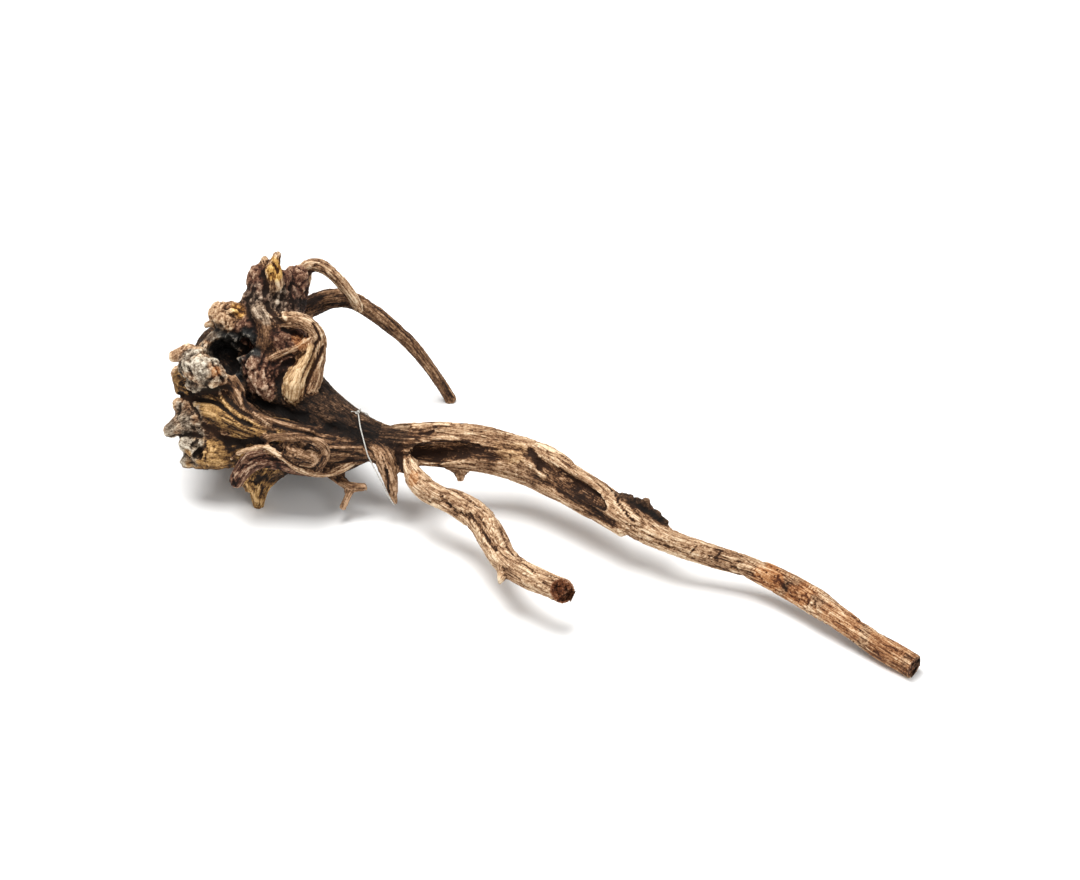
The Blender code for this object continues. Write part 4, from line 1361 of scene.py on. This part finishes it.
    def draw(self, skin: Skin, strokes: Sequence[Stroke], sawn: Array) -> Array:
        """Raise ridges and sink grooves along the strokes.

        Args:
            skin: the skin to move.
            strokes: the lines to draw.
            sawn: 1 where the skin stays.

        Returns:
            How much lighter or darker each vertex gets.
        """
        places, normals = skin.places, skin.normals()
        height = np.zeros(len(places))
        tone = np.zeros(len(places))
        for stroke in strokes:
            corners = np.array(stroke.points, float)
            reach = self.stroke_reach * stroke.width
            inside = (places > corners.min(axis=0) - reach) & (places < corners.max(axis=0) + reach)
            near = np.flatnonzero(inside.all(axis=1))
            if len(near) == 0:
                continue
            offset = places[near] - closest_on_line(places[near], stroke.points)
            sunk = (offset * normals[near]).sum(axis=1)
            gap = np.sqrt(np.maximum((offset ** 2).sum(axis=1) - self.depth_slack * sunk ** 2, 0.0))
            share = np.clip(1.0 - (gap / stroke.width) ** 2, 0.0, 1.0) ** 2
            height[near] += share * stroke.height
            tone[near] += share * stroke.tone
        skin.store(places + ((1.0 - sawn) * height)[:, None] * normals)
        return tone

    def shares(self, skin: Skin, grain: Grain, owner: Array) -> dict[str, Array]:
        """How much of each finish a vertex has, with ragged borders.

        Args:
            skin: the skin.
            grain: the strands.
            owner: number of the strand each vertex belongs to.

        Returns:
            Finish name to shares from 0 to 1.
        """
        kinds = np.array([strand.wood.value for strand in grain.strands])[owner]
        ragged = summed(self.border, skin.places)
        found = {}
        for wood in Wood:
            if wood is not Wood.BARE:
                share = skin.spread((kinds == wood.value).astype(float), self.border_rounds)
                found[wood.value] = step(*self.border_edge, share + ragged * share * (1.0 - share) * 4.0)
        for patch in PATCHES:
            gap = np.linalg.norm(skin.places - np.array(patch.centre, float), axis=1) / patch.radius
            share = patch.amount * step(*self.patch_edge, gap + ragged)
            found[patch.finish] = np.maximum(found.get(patch.finish, 0.0), share)
        found["grey"] *= np.clip(self.blotch_share + summed(self.blotch, skin.places), 0.0, 1.0)
        return found


# ----------------------------------------------------------------------------------------------------
# Finishes
# ----------------------------------------------------------------------------------------------------

def linear(code: str) -> tuple[float, float, float, float]:
    """Turn an sRGB hex colour into linear red, green, blue and alpha.

    Args:
        code: six hex digits.

    Returns:
        Four numbers from 0 to 1.
    """
    parts = [int(code[place:place + 2], 16) / 255.0 for place in (0, 2, 4)]
    return (*(part / 12.92 if part <= 0.04045 else ((part + 0.055) / 1.055) ** 2.4 for part in parts), 1.0)


def blank(name: str) -> tuple[bpy.types.Material, bpy.types.NodeTree, bpy.types.Node]:
    """Start a material.

    Args:
        name: name of the material.

    Returns:
        The material, its nodes and its surface shader.
    """
    material = bpy.data.materials.new(name)
    material.use_nodes = True
    return material, material.node_tree, material.node_tree.nodes["Principled BSDF"]


def add(tree: bpy.types.NodeTree, kind: str, inputs: dict | None = None,
        **settings: object) -> bpy.types.Node:
    """Add a node with its settings, values and links.

    Args:
        tree: the node tree.
        kind: the node's type name.
        inputs: socket name or number to a value or to another node's output.
        settings: attributes of the node.

    Returns:
        The node.
    """
    node = tree.nodes.new(kind)
    for name, value in settings.items():
        setattr(node, name, value)
    for name, value in (inputs or {}).items():
        if isinstance(value, bpy.types.NodeSocket):
            tree.links.new(value, node.inputs[name])
        else:
            node.inputs[name].default_value = value
    return node


def mark(tree: bpy.types.NodeTree, name: str) -> Socket:
    """The value kept in the mesh under a name."""
    return add(tree, "ShaderNodeAttribute", attribute_name=name).outputs["Fac"]


def scaled(tree: bpy.types.NodeTree, vector: Socket, scale: Point) -> Socket:
    """A vector multiplied, axis by axis."""
    return add(tree, "ShaderNodeVectorMath", {0: vector, 1: scale}, operation="MULTIPLY").outputs[0]


@dataclass(frozen=True)
class WoodFinish:
    """One look of old wood.

    Args:
        mask: attribute that says where it is; empty for everywhere.
        tones: sRGB hex colours from the deepest crack to the palest fibre.
        roughness: how matt it is.
    """

    mask: str
    tones: tuple[str, str, str, str, str]
    roughness: float


# Each finish lies over the ones before it
FINISHES: tuple[WoodFinish, ...] = (
    # Barkless root wood dried in the sun: pale fibres over brown, matt.
    WoodFinish("", ("2B190E", "6B4A31", "A48060", "C9A885", "E6CFAF"), 0.80),
    # Oily inner wood: darker, warmer, a little smoother.
    WoodFinish("brown", ("1F120A", "4A3120", "725238", "967354", "C29F7F"), 0.74),
    # Burl skin: purple-brown crust with pale crests.
    WoodFinish("gnarled", ("190D08", "44281D", "6C4B3A", "927058", "C4A68C"), 0.86),
    # Golden flank wood: ochre fibres.
    WoodFinish("ochre", ("1C1109", "4E341D", "826038", "AC8450", "D6AF7A"), 0.76),
    # Painted shade under the burl and on the underside, a darker neck, and the dark decayed burr of the
    # long root.
    WoodFinish("shade", ("0E0906", "23160D", "3D2A1C", "5C4330", "8C6F56"), 0.82),
    # Lobe rubbed smooth: honey tan.
    WoodFinish("smooth", ("45290F", "835F40", "B08A60", "CDA87C", "E6C9A0"), 0.58),
    # Weathered silver-grey wood, porous and very matt.
    WoodFinish("grey", ("241C15", "5B4F42", "8F8170", "B8AA96", "DDD3C0"), 0.92),
    # Red-brown heartwood where the surface has flaked.
    WoodFinish("rusty", ("4A230E", "86502A", "AE7647", "C99A6F", "E0C19C"), 0.64),
    # Fresh split: yellow torn fibres.
    WoodFinish("split", ("3D2108", "93612A", "C7974D", "E4BB72", "F3D79A"), 0.70),
    # Charcoal: black with grey ash, faintly shiny on its facets.
    WoodFinish("charred", ("060505", "12110F", "24221F", "403D39", "8A8378"), 0.46),
    # Saw cut across old heartwood: dark red-brown, furry.
    WoodFinish("sawn", ("2A1005", "522912", "6E4024", "86593F", "B0896E"), 0.88),
)


# Where the five tones of a finish sit between dark and pale
TONE_PLACES = (0.02, 0.30, 0.55, 0.78, 1.0)

# How much each pattern and each mark of the skin lightens the wood, and how high each pattern stands
# hollow and deep darken narrow creases and wide hollows as painted shade; hollow also makes crests paler
TONE_WEIGHTS = {"fine": 1.35, "broad": 0.95, "mottle": 0.7, "dust": 1.1, "flakes": 0.32, "speck": 0.26,
                "hollow": -0.5, "deep": -0.075, "tone": 1.0}
RELIEF_WEIGHTS = {"fine": 1.0, "broad": 0.8, "dust": 0.7, "flakes": 0.5, "speck": 0.5}


@dataclass
class RootWood:
    """The material of the whole root: every finish mixed by its mask.

    Sizes are in millimetres; pairs are for straight and for knobby wood. Real wood fibres are about 0.03 mm
    wide and can't show, so the finest streaks are drawn as bundles of 0.8 mm.

    Args:
        fine: width of the finest streaks and of the smallest pores.
        broad: width of the bands and of the lumps.
        flakes: width of the bundles and of the chips that have a tone of their own.
        mottle: width of the slow mottle.
        dust: width of the grains of dust.
        cracks: spacing of the hair cracks, and their half width as a share of it.
        pores: spacing of the dark pores, and the levels between which they open.
        stretch: width of a streak as a share of its length.
        breakup: how strongly the finer parts of a noise count.
        middle_tone: tone of the plain wood, from 0 dark to 1 pale.
        sheen: strength of the mirror shine.
        swing: how far the mottle moves the roughness up and down.
        bump: height of the finest relief, in metres.
    """

    fine: tuple[float, float] = (0.8, 1.0)
    broad: tuple[float, float] = (2.6, 3.6)
    flakes: tuple[float, float] = (1.2, 1.9)
    mottle: float = 16.0
    dust: float = 1.3
    cracks: tuple[float, float] = (2.8, 0.07)
    pores: tuple[float, float, float] = (1.7, 0.12, 0.22)
    stretch: float = 0.11
    breakup: float = 0.68
    middle_tone: float = 0.475
    sheen: float = 0.18
    swing: float = 0.1
    bump: float = 0.5 * MM

    def build(self) -> bpy.types.Material:
        """Make the material.

        Returns:
            The material.
        """
        material, tree, surface = blank("old_root_wood_weathered")
        surface.inputs["Specular IOR Level"].default_value = self.sheen
        tone, height, mottle = self.tone(tree)
        colour, roughness = self.mix(tree, tone, mottle)
        tree.links.new(colour, surface.inputs["Base Color"])
        tree.links.new(roughness, surface.inputs["Roughness"])
        bump = add(tree, "ShaderNodeBump", {"Height": height, "Strength": 1.0, "Distance": self.bump})
        tree.links.new(bump.outputs["Normal"], surface.inputs["Normal"])
        return material

    def tone(self, tree: bpy.types.NodeTree) -> tuple[Socket, ...]:
        """Lightness of the fibres, their height, and a slow mottle.

        Args:
            tree: the material's nodes.

        Returns:
            The tone, the height and the mottle, as sockets.
        """
        place = scaled(tree, add(tree, "ShaderNodeTexCoord").outputs["Object"], (1.0 / MM,) * 3)
        grain = add(tree, "ShaderNodeAttribute", attribute_name="grain").outputs["Vector"]
        combed = scaled(tree, grain, (self.stretch, 1.0, 1.0))
        knobby = mark(tree, "knobby")

        def centred(value: Socket) -> Socket:
            """A value from 0 to 1 moved to lie about 0."""
            return add(tree, "ShaderNodeMath", {0: value, 1: 0.5}, operation="SUBTRACT").outputs[0]

        def pattern(size: float, detail: float, vector: Socket) -> Socket:
            """Noise of a size in millimetres, about -0.5 to 0.5."""
            found = add(tree, "ShaderNodeTexNoise", {"Vector": vector, "Scale": 1.0 / size,
                                                     "Detail": detail, "Roughness": self.breakup})
            return centred(found.outputs["Fac"])

        def flake(size: float, vector: Socket) -> Socket:
            """A tone of its own for each chip or bundle of a size in millimetres, about -0.5 to 0.5."""
            found = add(tree, "ShaderNodeTexVoronoi", {"Vector": vector, "Scale": 1.0 / size})
            level = add(tree, "ShaderNodeSeparateColor", {"Color": found.outputs["Color"]})
            return centred(level.outputs[0])

        def either(straight: Socket, rough: Socket) -> Socket:
            """One value on straight wood and the other on knobby wood."""
            return add(tree, "ShaderNodeMix", {"Factor": knobby, 2: straight, 3: rough}).outputs[0]

        def spanned(value: Socket, *span: float) -> Socket:
            """A value carried from one range to another: from least, from most, to least, to most."""
            names = ("From Min", "From Max", "To Min", "To Max")
            return add(tree, "ShaderNodeMapRange", {"Value": value, **dict(zip(names, span))}).outputs[0]

        def total(weights: dict[str, float]) -> Socket:
            """The parts added up by their weights."""
            found = None
            for name, weight in weights.items():
                found = add(tree, "ShaderNodeMath", {0: parts[name], 1: weight, 2: found if found else 0.0},
                            operation="MULTIPLY_ADD").outputs[0]
            return found

        crack_size, crack_edge = self.cracks
        edge = add(tree, "ShaderNodeTexVoronoi", {"Vector": combed, "Scale": 1.0 / crack_size},
                   feature="DISTANCE_TO_EDGE").outputs["Distance"]
        pore_size, *pore_levels = self.pores
        # hollow and deep bring in the painted shade of creases and hollows
        parts = {name: mark(tree, name) for name in ("hollow", "deep", "tone")}
        parts["fine"] = either(pattern(self.fine[0], 2.0, combed), pattern(self.fine[1], 3.0, place))
        parts["broad"] = either(pattern(self.broad[0], 3.0, combed), pattern(self.broad[1], 3.0, place))
        parts["mottle"] = pattern(self.mottle, 2.0, place)
        parts["dust"] = pattern(self.dust, 3.0, place)
        parts["flakes"] = either(flake(self.flakes[0], combed), flake(self.flakes[1], place))
        parts["speck"] = either(spanned(edge, 0.0, crack_edge, -1.0, 0.0),
                                spanned(pattern(pore_size, 1.0, place), *pore_levels, 0.0, -1.0))
        tone = add(tree, "ShaderNodeMath", {0: total(TONE_WEIGHTS), 1: self.middle_tone}, operation="ADD")
        return tone.outputs[0], total(RELIEF_WEIGHTS), parts["mottle"]

    def mix(self, tree: bpy.types.NodeTree, tone: Socket, mottle: Socket) -> tuple[Socket, Socket]:
        """Lay the finishes over each other by their masks.

        Args:
            tree: the material's nodes.
            tone: lightness of the fibres.
            mottle: slow variation.

        Returns:
            The colour and the roughness, as sockets.
        """
        colour = roughness = None
        for finish in FINISHES:
            ramp = add(tree, "ShaderNodeValToRGB", {"Fac": tone})
            stops = ramp.color_ramp.elements
            stops[0].position = TONE_PLACES[0]
            for place in TONE_PLACES[1:-1]:
                stops.new(place)
            for stop, code in zip(stops, finish.tones):
                stop.color = linear(code)
            if not finish.mask:
                colour = ramp.outputs["Color"]
                swing = {"To Min": finish.roughness - self.swing, "To Max": finish.roughness + self.swing}
                roughness = add(tree, "ShaderNodeMapRange", {"Value": mottle, "From Min": -0.5,
                                                             "From Max": 0.5, **swing}).outputs[0]
                continue
            share = mark(tree, finish.mask)
            colour = add(tree, "ShaderNodeMix", {"Factor": share, 6: colour, 7: ramp.outputs["Color"]},
                         data_type="RGBA").outputs[2]
            roughness = add(tree, "ShaderNodeMix", {"Factor": share, 2: roughness,
                                                    3: finish.roughness}).outputs[0]
        return colour, roughness


@dataclass(frozen=True)
class NylonLine:
    """Clear nylon drawn into a thin line: smooth, with a white shine.

    Args:
        colour: sRGB hex colour.
        clearness: how much light goes through.
        bending: how strongly it bends light.
        scuffs: number of scuffs in a metre.
        roughness: least and most roughness.
    """

    colour: str = "DDDAD2"
    clearness: float = 0.45
    bending: float = 1.53
    scuffs: float = 900.0
    roughness: tuple[float, float] = (0.14, 0.42)

    def build(self) -> bpy.types.Material:
        """Make the material."""
        material, tree, surface = blank("nylon_line_drawn")
        surface.inputs["Base Color"].default_value = linear(self.colour)
        surface.inputs["IOR"].default_value = self.bending
        surface.inputs["Transmission Weight"].default_value = self.clearness
        place = add(tree, "ShaderNodeTexCoord").outputs["Object"]
        scuff = add(tree, "ShaderNodeTexNoise", {"Vector": place, "Scale": self.scuffs, "Detail": 2.0})
        rough = add(tree, "ShaderNodeMapRange", {"Value": scuff.outputs["Fac"], "To Min": self.roughness[0],
                                                 "To Max": self.roughness[1]})
        tree.links.new(rough.outputs[0], surface.inputs["Roughness"])
        return material


@dataclass(frozen=True)
class PaleCard:
    """White card lying flat: matt, with hardly any shine.

    Args:
        colour: sRGB hex colour.
        roughness: how matt it is.
        sheen: strength of the mirror shine.
    """

    colour: str = "F6F6F5"
    roughness: float = 0.9
    sheen: float = 0.1

    def build(self) -> bpy.types.Material:
        """Make the material."""
        material, _, surface = blank("white_card_matt")
        surface.inputs["Base Color"].default_value = linear(self.colour)
        surface.inputs["Roughness"].default_value = self.roughness
        surface.inputs["Specular IOR Level"].default_value = self.sheen
        return material


# ----------------------------------------------------------------------------------------------------
# Pieces and studio
# ----------------------------------------------------------------------------------------------------

@dataclass
class DryRoot:
    """The root as one piece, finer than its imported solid.

    Args:
        form: builds the skin.
        carving: works on it.
        foot: height of the band in which the feet are cut level, in millimetres.
        flatten: rounds of evening before the skin is laid out.
        fold: angle at which the laid-out skin is parted, in radians.
        margin: clear space between its parts.
    """

    form: RootForm = field(default_factory=RootForm)
    carving: Carving = field(default_factory=Carving)
    foot: float = 4.0
    flatten: int = 60
    fold: float = 1.15
    margin: float = 0.002
    shift: Vector = field(init=False)

    def build(self) -> bpy.types.Object:
        """Build, carve, dress and place the root.

        Returns:
            The piece in metres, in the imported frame.
        """
        grain = Grain(self.form.strands())
        root = self.form.build()
        LOG.info("fused skin: %d vertices", len(root.data.vertices))
        skin = Skin(root.data)
        low, high = skin.places.min(axis=0), skin.places.max(axis=0)
        middle = (CAD_BOX[0] + CAD_BOX[1]) / 2.0
        self.shift = Vector([middle[axis] - MM * (low[axis] + high[axis]) / 2.0 for axis in (0, 1)] + [0.0])
        self.carving.work(skin, grain, self.form.cuts)
        self.lay_out(root, skin)
        self.mark_grain(root.data, grain)
        self.level(root)
        root.data.transform(Matrix.Translation(self.shift) @ Matrix.Scale(MM, 4))
        root.data.shade_smooth()
        root.data.materials.clear()
        root.data.materials.append(RootWood().build())
        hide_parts("dry_root")
        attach(root, "root")
        return root

    def lay_out(self, root: bpy.types.Object, skin: Skin) -> None:
        """Lay the skin out flat for baked maps, on its evened shape so that the pieces stay large.

        Args:
            root: the carved root.
            skin: its arrays.
        """
        carved = skin.places.copy()
        skin.store(skin.spread(carved, self.flatten))
        bpy.context.view_layer.objects.active = root
        root.select_set(True)
        bpy.ops.object.mode_set(mode="EDIT")
        bpy.ops.mesh.select_all(action="SELECT")
        bpy.ops.uv.smart_project(angle_limit=self.fold, island_margin=self.margin)
        bpy.ops.object.mode_set(mode="OBJECT")
        root.data.uv_layers.active.name = "OFBake"
        skin.store(carved)

    @staticmethod
    def mark_grain(mesh: bpy.types.Mesh, grain: Grain) -> None:
        """Keep, at each face corner, its place in the wood's own directions.

        Args:
            mesh: the root's mesh in millimetres.
            grain: the strands' directions.
        """
        sizes = read(mesh.polygons, "loop_total", 1, np.int64)
        corners = read(mesh.loops, "vertex_index", 1, np.int64)
        sample = np.repeat(grain.nearest(read(mesh.polygons, "center", 3)), sizes)
        found = grain.coordinates(read(mesh.vertices, "co", 3)[corners], sample)
        kept = mesh.attributes.new("grain", "FLOAT_VECTOR", "CORNER")
        kept.data.foreach_set("vector", found.astype(np.float32).ravel())

    def level(self, root: bpy.types.Object) -> None:
        """Cut the feet level with the floor.

        Args:
            root: the root in millimetres.
        """
        shape = bmesh.new()
        shape.from_mesh(root.data)
        low = [vertex for vertex in shape.verts if vertex.co.z < self.foot]
        parts = dict.fromkeys(low)
        for vertex in low:
            parts.update(dict.fromkeys([*vertex.link_edges, *vertex.link_faces]))
        cut_off(shape, parts, Vector((0.0, 0.0, 0.0)), Vector((0.0, 0.0, -1.0)))
        many_sided = [face for face in shape.faces if len(face.verts) > 4]
        bmesh.ops.triangulate(shape, faces=many_sided)
        shape.to_mesh(root.data)
        shape.free()


@dataclass
class TieLine:
    """The thin line round the neck and its hanging splinter.

    Args:
        middle: a point inside the neck, in millimetres.
        towards_tip: from there towards the splinter's tip.
        along_root: roughly along the root.
        radius: radius of the line.
        gap: clear space kept to the bark.
        knot_size: half the size of its knot.
        tail: length of the knot's clipped ends.
        reach: how far out the bark is felt for.
        rays: directions in which it is felt for.
        lanes: offsets along the root at which it is felt for, in millimetres.
        sides: corners of the clear ring kept round each felt point.
        knot_points: number of points along the knot.
        knot_open: how much of a turn stays open between the knot's ends, in radians, on either side.
        knot_spread: how wide the knot lies, as a share of its size; knot_rise is how high it stands.
        tail_ways: where its two clipped ends point: along the root, across it and outwards.
        roundness: roundness of the line.
    """

    middle: Point = (-106.0, 46.0, 45.0)
    towards_tip: Point = (14.0, -26.0, -28.0)
    along_root: Point = (0.90, -0.42, -0.06)
    radius: float = 0.42
    gap: float = 0.12
    knot_size: float = 1.1
    tail: float = 4.0
    reach: float = 60.0
    rays: int = 240
    lanes: tuple[float, ...] = (-0.4, 0.0, 0.4)
    sides: int = 12
    knot_points: int = 48
    knot_open: float = 0.5
    knot_spread: float = 0.4
    knot_rise: float = 0.55
    tail_ways: tuple[Point, Point] = ((0.6, 0.5, 0.5), (-0.5, 0.6, 0.4))
    roundness: int = 4

    def build(self, root: bpy.types.Object, shift: Vector) -> bpy.types.Object:
        """Pull the line tight round the finished bark.

        Args:
            root: the finished root.
            shift: from the strands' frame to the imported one, in metres.

        Returns:
            The piece.
        """
        tip = Vector(self.towards_tip).normalized()
        normal = Vector(self.along_root)
        normal = (normal - normal.dot(tip) * tip).normalized()
        across = normal.cross(tip)
        middle = Vector(self.middle) * MM + shift
        tree = BVHTree.FromObject(root, bpy.context.evaluated_depsgraph_get())
        ring = [Vector((math.cos(turn), math.sin(turn))) * (self.gap + self.radius) * MM
                for turn in np.linspace(0.0, math.tau, self.sides, endpoint=False)]
        outline = []
        for turn in np.linspace(0.0, math.tau, self.rays, endpoint=False):
            ray = Vector((math.cos(turn), math.sin(turn)))
            outward = ray.x * tip + ray.y * across
            for lane in self.lanes:
                origin = middle + lane * MM * normal
                place = tree.ray_cast(origin + self.reach * MM * outward, -outward)[0]
                if place is not None:
                    outline += [ray * (place - origin).length + spoke for spoke in ring]
        corners = [outline[index] for index in geometry.convex_hull_2d(outline)]
        loop = [middle + corner.x * tip + corner.y * across for corner in corners]
        top = max(loop, key=lambda place: place.z)
        outward = (top - middle).normalized()
        return self.tube([(loop, True), (self.knot(top, outward, normal), False)])

    def knot(self, top: Vector, outward: Vector, normal: Vector) -> list[Vector]:
        """A small overhand knot with two clipped ends.

        Args:
            top: where it sits, in metres.
            outward: direction away from the bark.
            normal: direction along the root.

        Returns:
            Points along the line, in metres.
        """
        side = normal.cross(outward).normalized()
        centre = top + self.knot_size * MM * outward
        turns = np.linspace(self.knot_open, math.tau - self.knot_open, self.knot_points)
        spread, rise = self.knot_spread, self.knot_rise
        body = [centre + self.knot_size * MM * ((math.sin(t) + 2.0 * math.sin(2.0 * t)) * spread * normal
                                                + (math.cos(t) - 2.0 * math.cos(2.0 * t)) * spread * side
                                                - rise * math.sin(3.0 * t) * outward) for t in turns]
        first, last = (end + self.tail * MM * (along * normal + across * side + out * outward)
                       for end, (along, across, out) in zip((body[0], body[-1]), self.tail_ways))
        return [first, *body, last]

    def tube(self, runs: list[tuple[list[Vector], bool]]) -> bpy.types.Object:
        """A round line through runs of points.

        Args:
            runs: points in metres, and whether the run closes on itself.

        Returns:
            The piece.
        """
        curve = bpy.data.curves.new("tie_line_nylon", "CURVE")
        curve.dimensions = "3D"
        curve.bevel_depth = self.radius * MM
        curve.bevel_resolution = self.roundness
        curve.use_fill_caps = True
        for points, closed in runs:
            spline = curve.splines.new("POLY")
            spline.points.add(len(points) - 1)
            for knot, place in zip(spline.points, points):
                knot.co = (*place, 1.0)
            spline.use_cyclic_u = closed
        line = linked(bpy.data.objects.new("tie_line_nylon", curve))
        curve.materials.append(NylonLine().build())
        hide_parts("tie_line")
        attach(line, "root")
        return line


@dataclass(frozen=True)
class Softbox:
    """A square softbox.

    Args:
        name: name of the light.
        place: where it hangs, in metres.
        target: where it points.
        size: side of the box.
        power: in watts.
    """

    name: str
    place: Point
    target: Point
    size: float
    power: float

    def build(self) -> None:
        """Hang the light."""
        data = bpy.data.lights.new(self.name, "AREA")
        data.size = self.size
        data.energy = self.power
        box = linked(bpy.data.objects.new(self.name, data))
        box.location = self.place
        box.rotation_mode = "QUATERNION"
        box.rotation_quaternion = (Vector(self.target) - Vector(self.place)).to_track_quat("-Z", "Y")


@dataclass
class Studio:
    """A pale floor, soft light from above and the camera.

    Args:
        elevation: height of the camera above the horizon, in degrees.
        distance: from the camera to the point it looks at, in metres.
        lens: focal length in millimetres.
        aim: the point of the floor it looks at, in the strands' frame, in metres.
        view_end: how far the camera sees, in metres.
        floor_size: half the side of the floor, in metres.
        air: strength of the white light from all round.
        softboxes: the lights.
    """

    elevation: float = 35.0
    distance: float = 1.594
    lens: float = 80.0
    aim: Point = (0.0, 0.112, 0.0)
    view_end: float = 50.0
    floor_size: float = 6.0
    air: float = 0.42
    softboxes: tuple[Softbox, ...] = (
        Softbox("softbox_above", (-0.30, 0.05, 1.60), (-0.02, 0.0, 0.0), 1.0, 36.0),
        Softbox("softbox_front", (0.70, -1.20, 1.10), (-0.1, 0.0, 0.05), 0.7, 7.0))

    def build(self, shift: Vector) -> None:
        """Make the floor, the lights and the camera.

        Args:
            shift: from the strands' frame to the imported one.
        """
        self.floor()
        for softbox in self.softboxes:
            softbox.build()
        world = bpy.data.worlds.new("studio_air")
        bpy.context.scene.world = world
        world.use_nodes = True
        light = world.node_tree.nodes["Background"]
        light.inputs["Color"].default_value = (1.0, 1.0, 1.0, 1.0)
        light.inputs["Strength"].default_value = self.air
        bpy.context.scene.view_settings.view_transform = "Standard"
        self.camera(shift)

    def floor(self) -> None:
        """A wide flat card."""
        shape = bmesh.new()
        bmesh.ops.create_grid(shape, x_segments=4, y_segments=4, size=self.floor_size)
        mesh = meshed(shape, "floor_card")
        floor = linked(bpy.data.objects.new("floor_card", mesh))
        mesh.materials.append(PaleCard().build())

    def camera(self, shift: Vector) -> None:
        """The camera, above and in front.

        Args:
            shift: from the strands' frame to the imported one.
        """
        data = bpy.data.cameras.new("camera")
        data.lens = self.lens
        data.clip_end = self.view_end
        eye = linked(bpy.data.objects.new("camera", data))
        tilt = math.radians(self.elevation)
        eye.location = (Vector(self.aim) + shift
                        + self.distance * Vector((0.0, -math.cos(tilt), math.sin(tilt))))
        eye.rotation_euler = (math.pi / 2.0 - tilt, 0.0, 0.0)
        bpy.context.scene.camera = eye


def corners(bounds: tuple[Vector, Vector]) -> list[list[float]]:
    """A box as plain lists."""
    return [list(map(float, corner)) for corner in bounds]


def main() -> None:
    """Build the pieces and the studio."""
    logging.basicConfig(level=logging.INFO, format="%(message)s")
    root = DryRoot()
    piece = root.build()
    LOG.info("%s: %d faces", piece.name, len(piece.data.polygons))
    line = TieLine().build(piece, root.shift)
    LOG.info("%s: %d points", line.name, len(line.data.splines[0].points))
    Studio().build(root.shift)


if __name__ == "__main__":
    main()
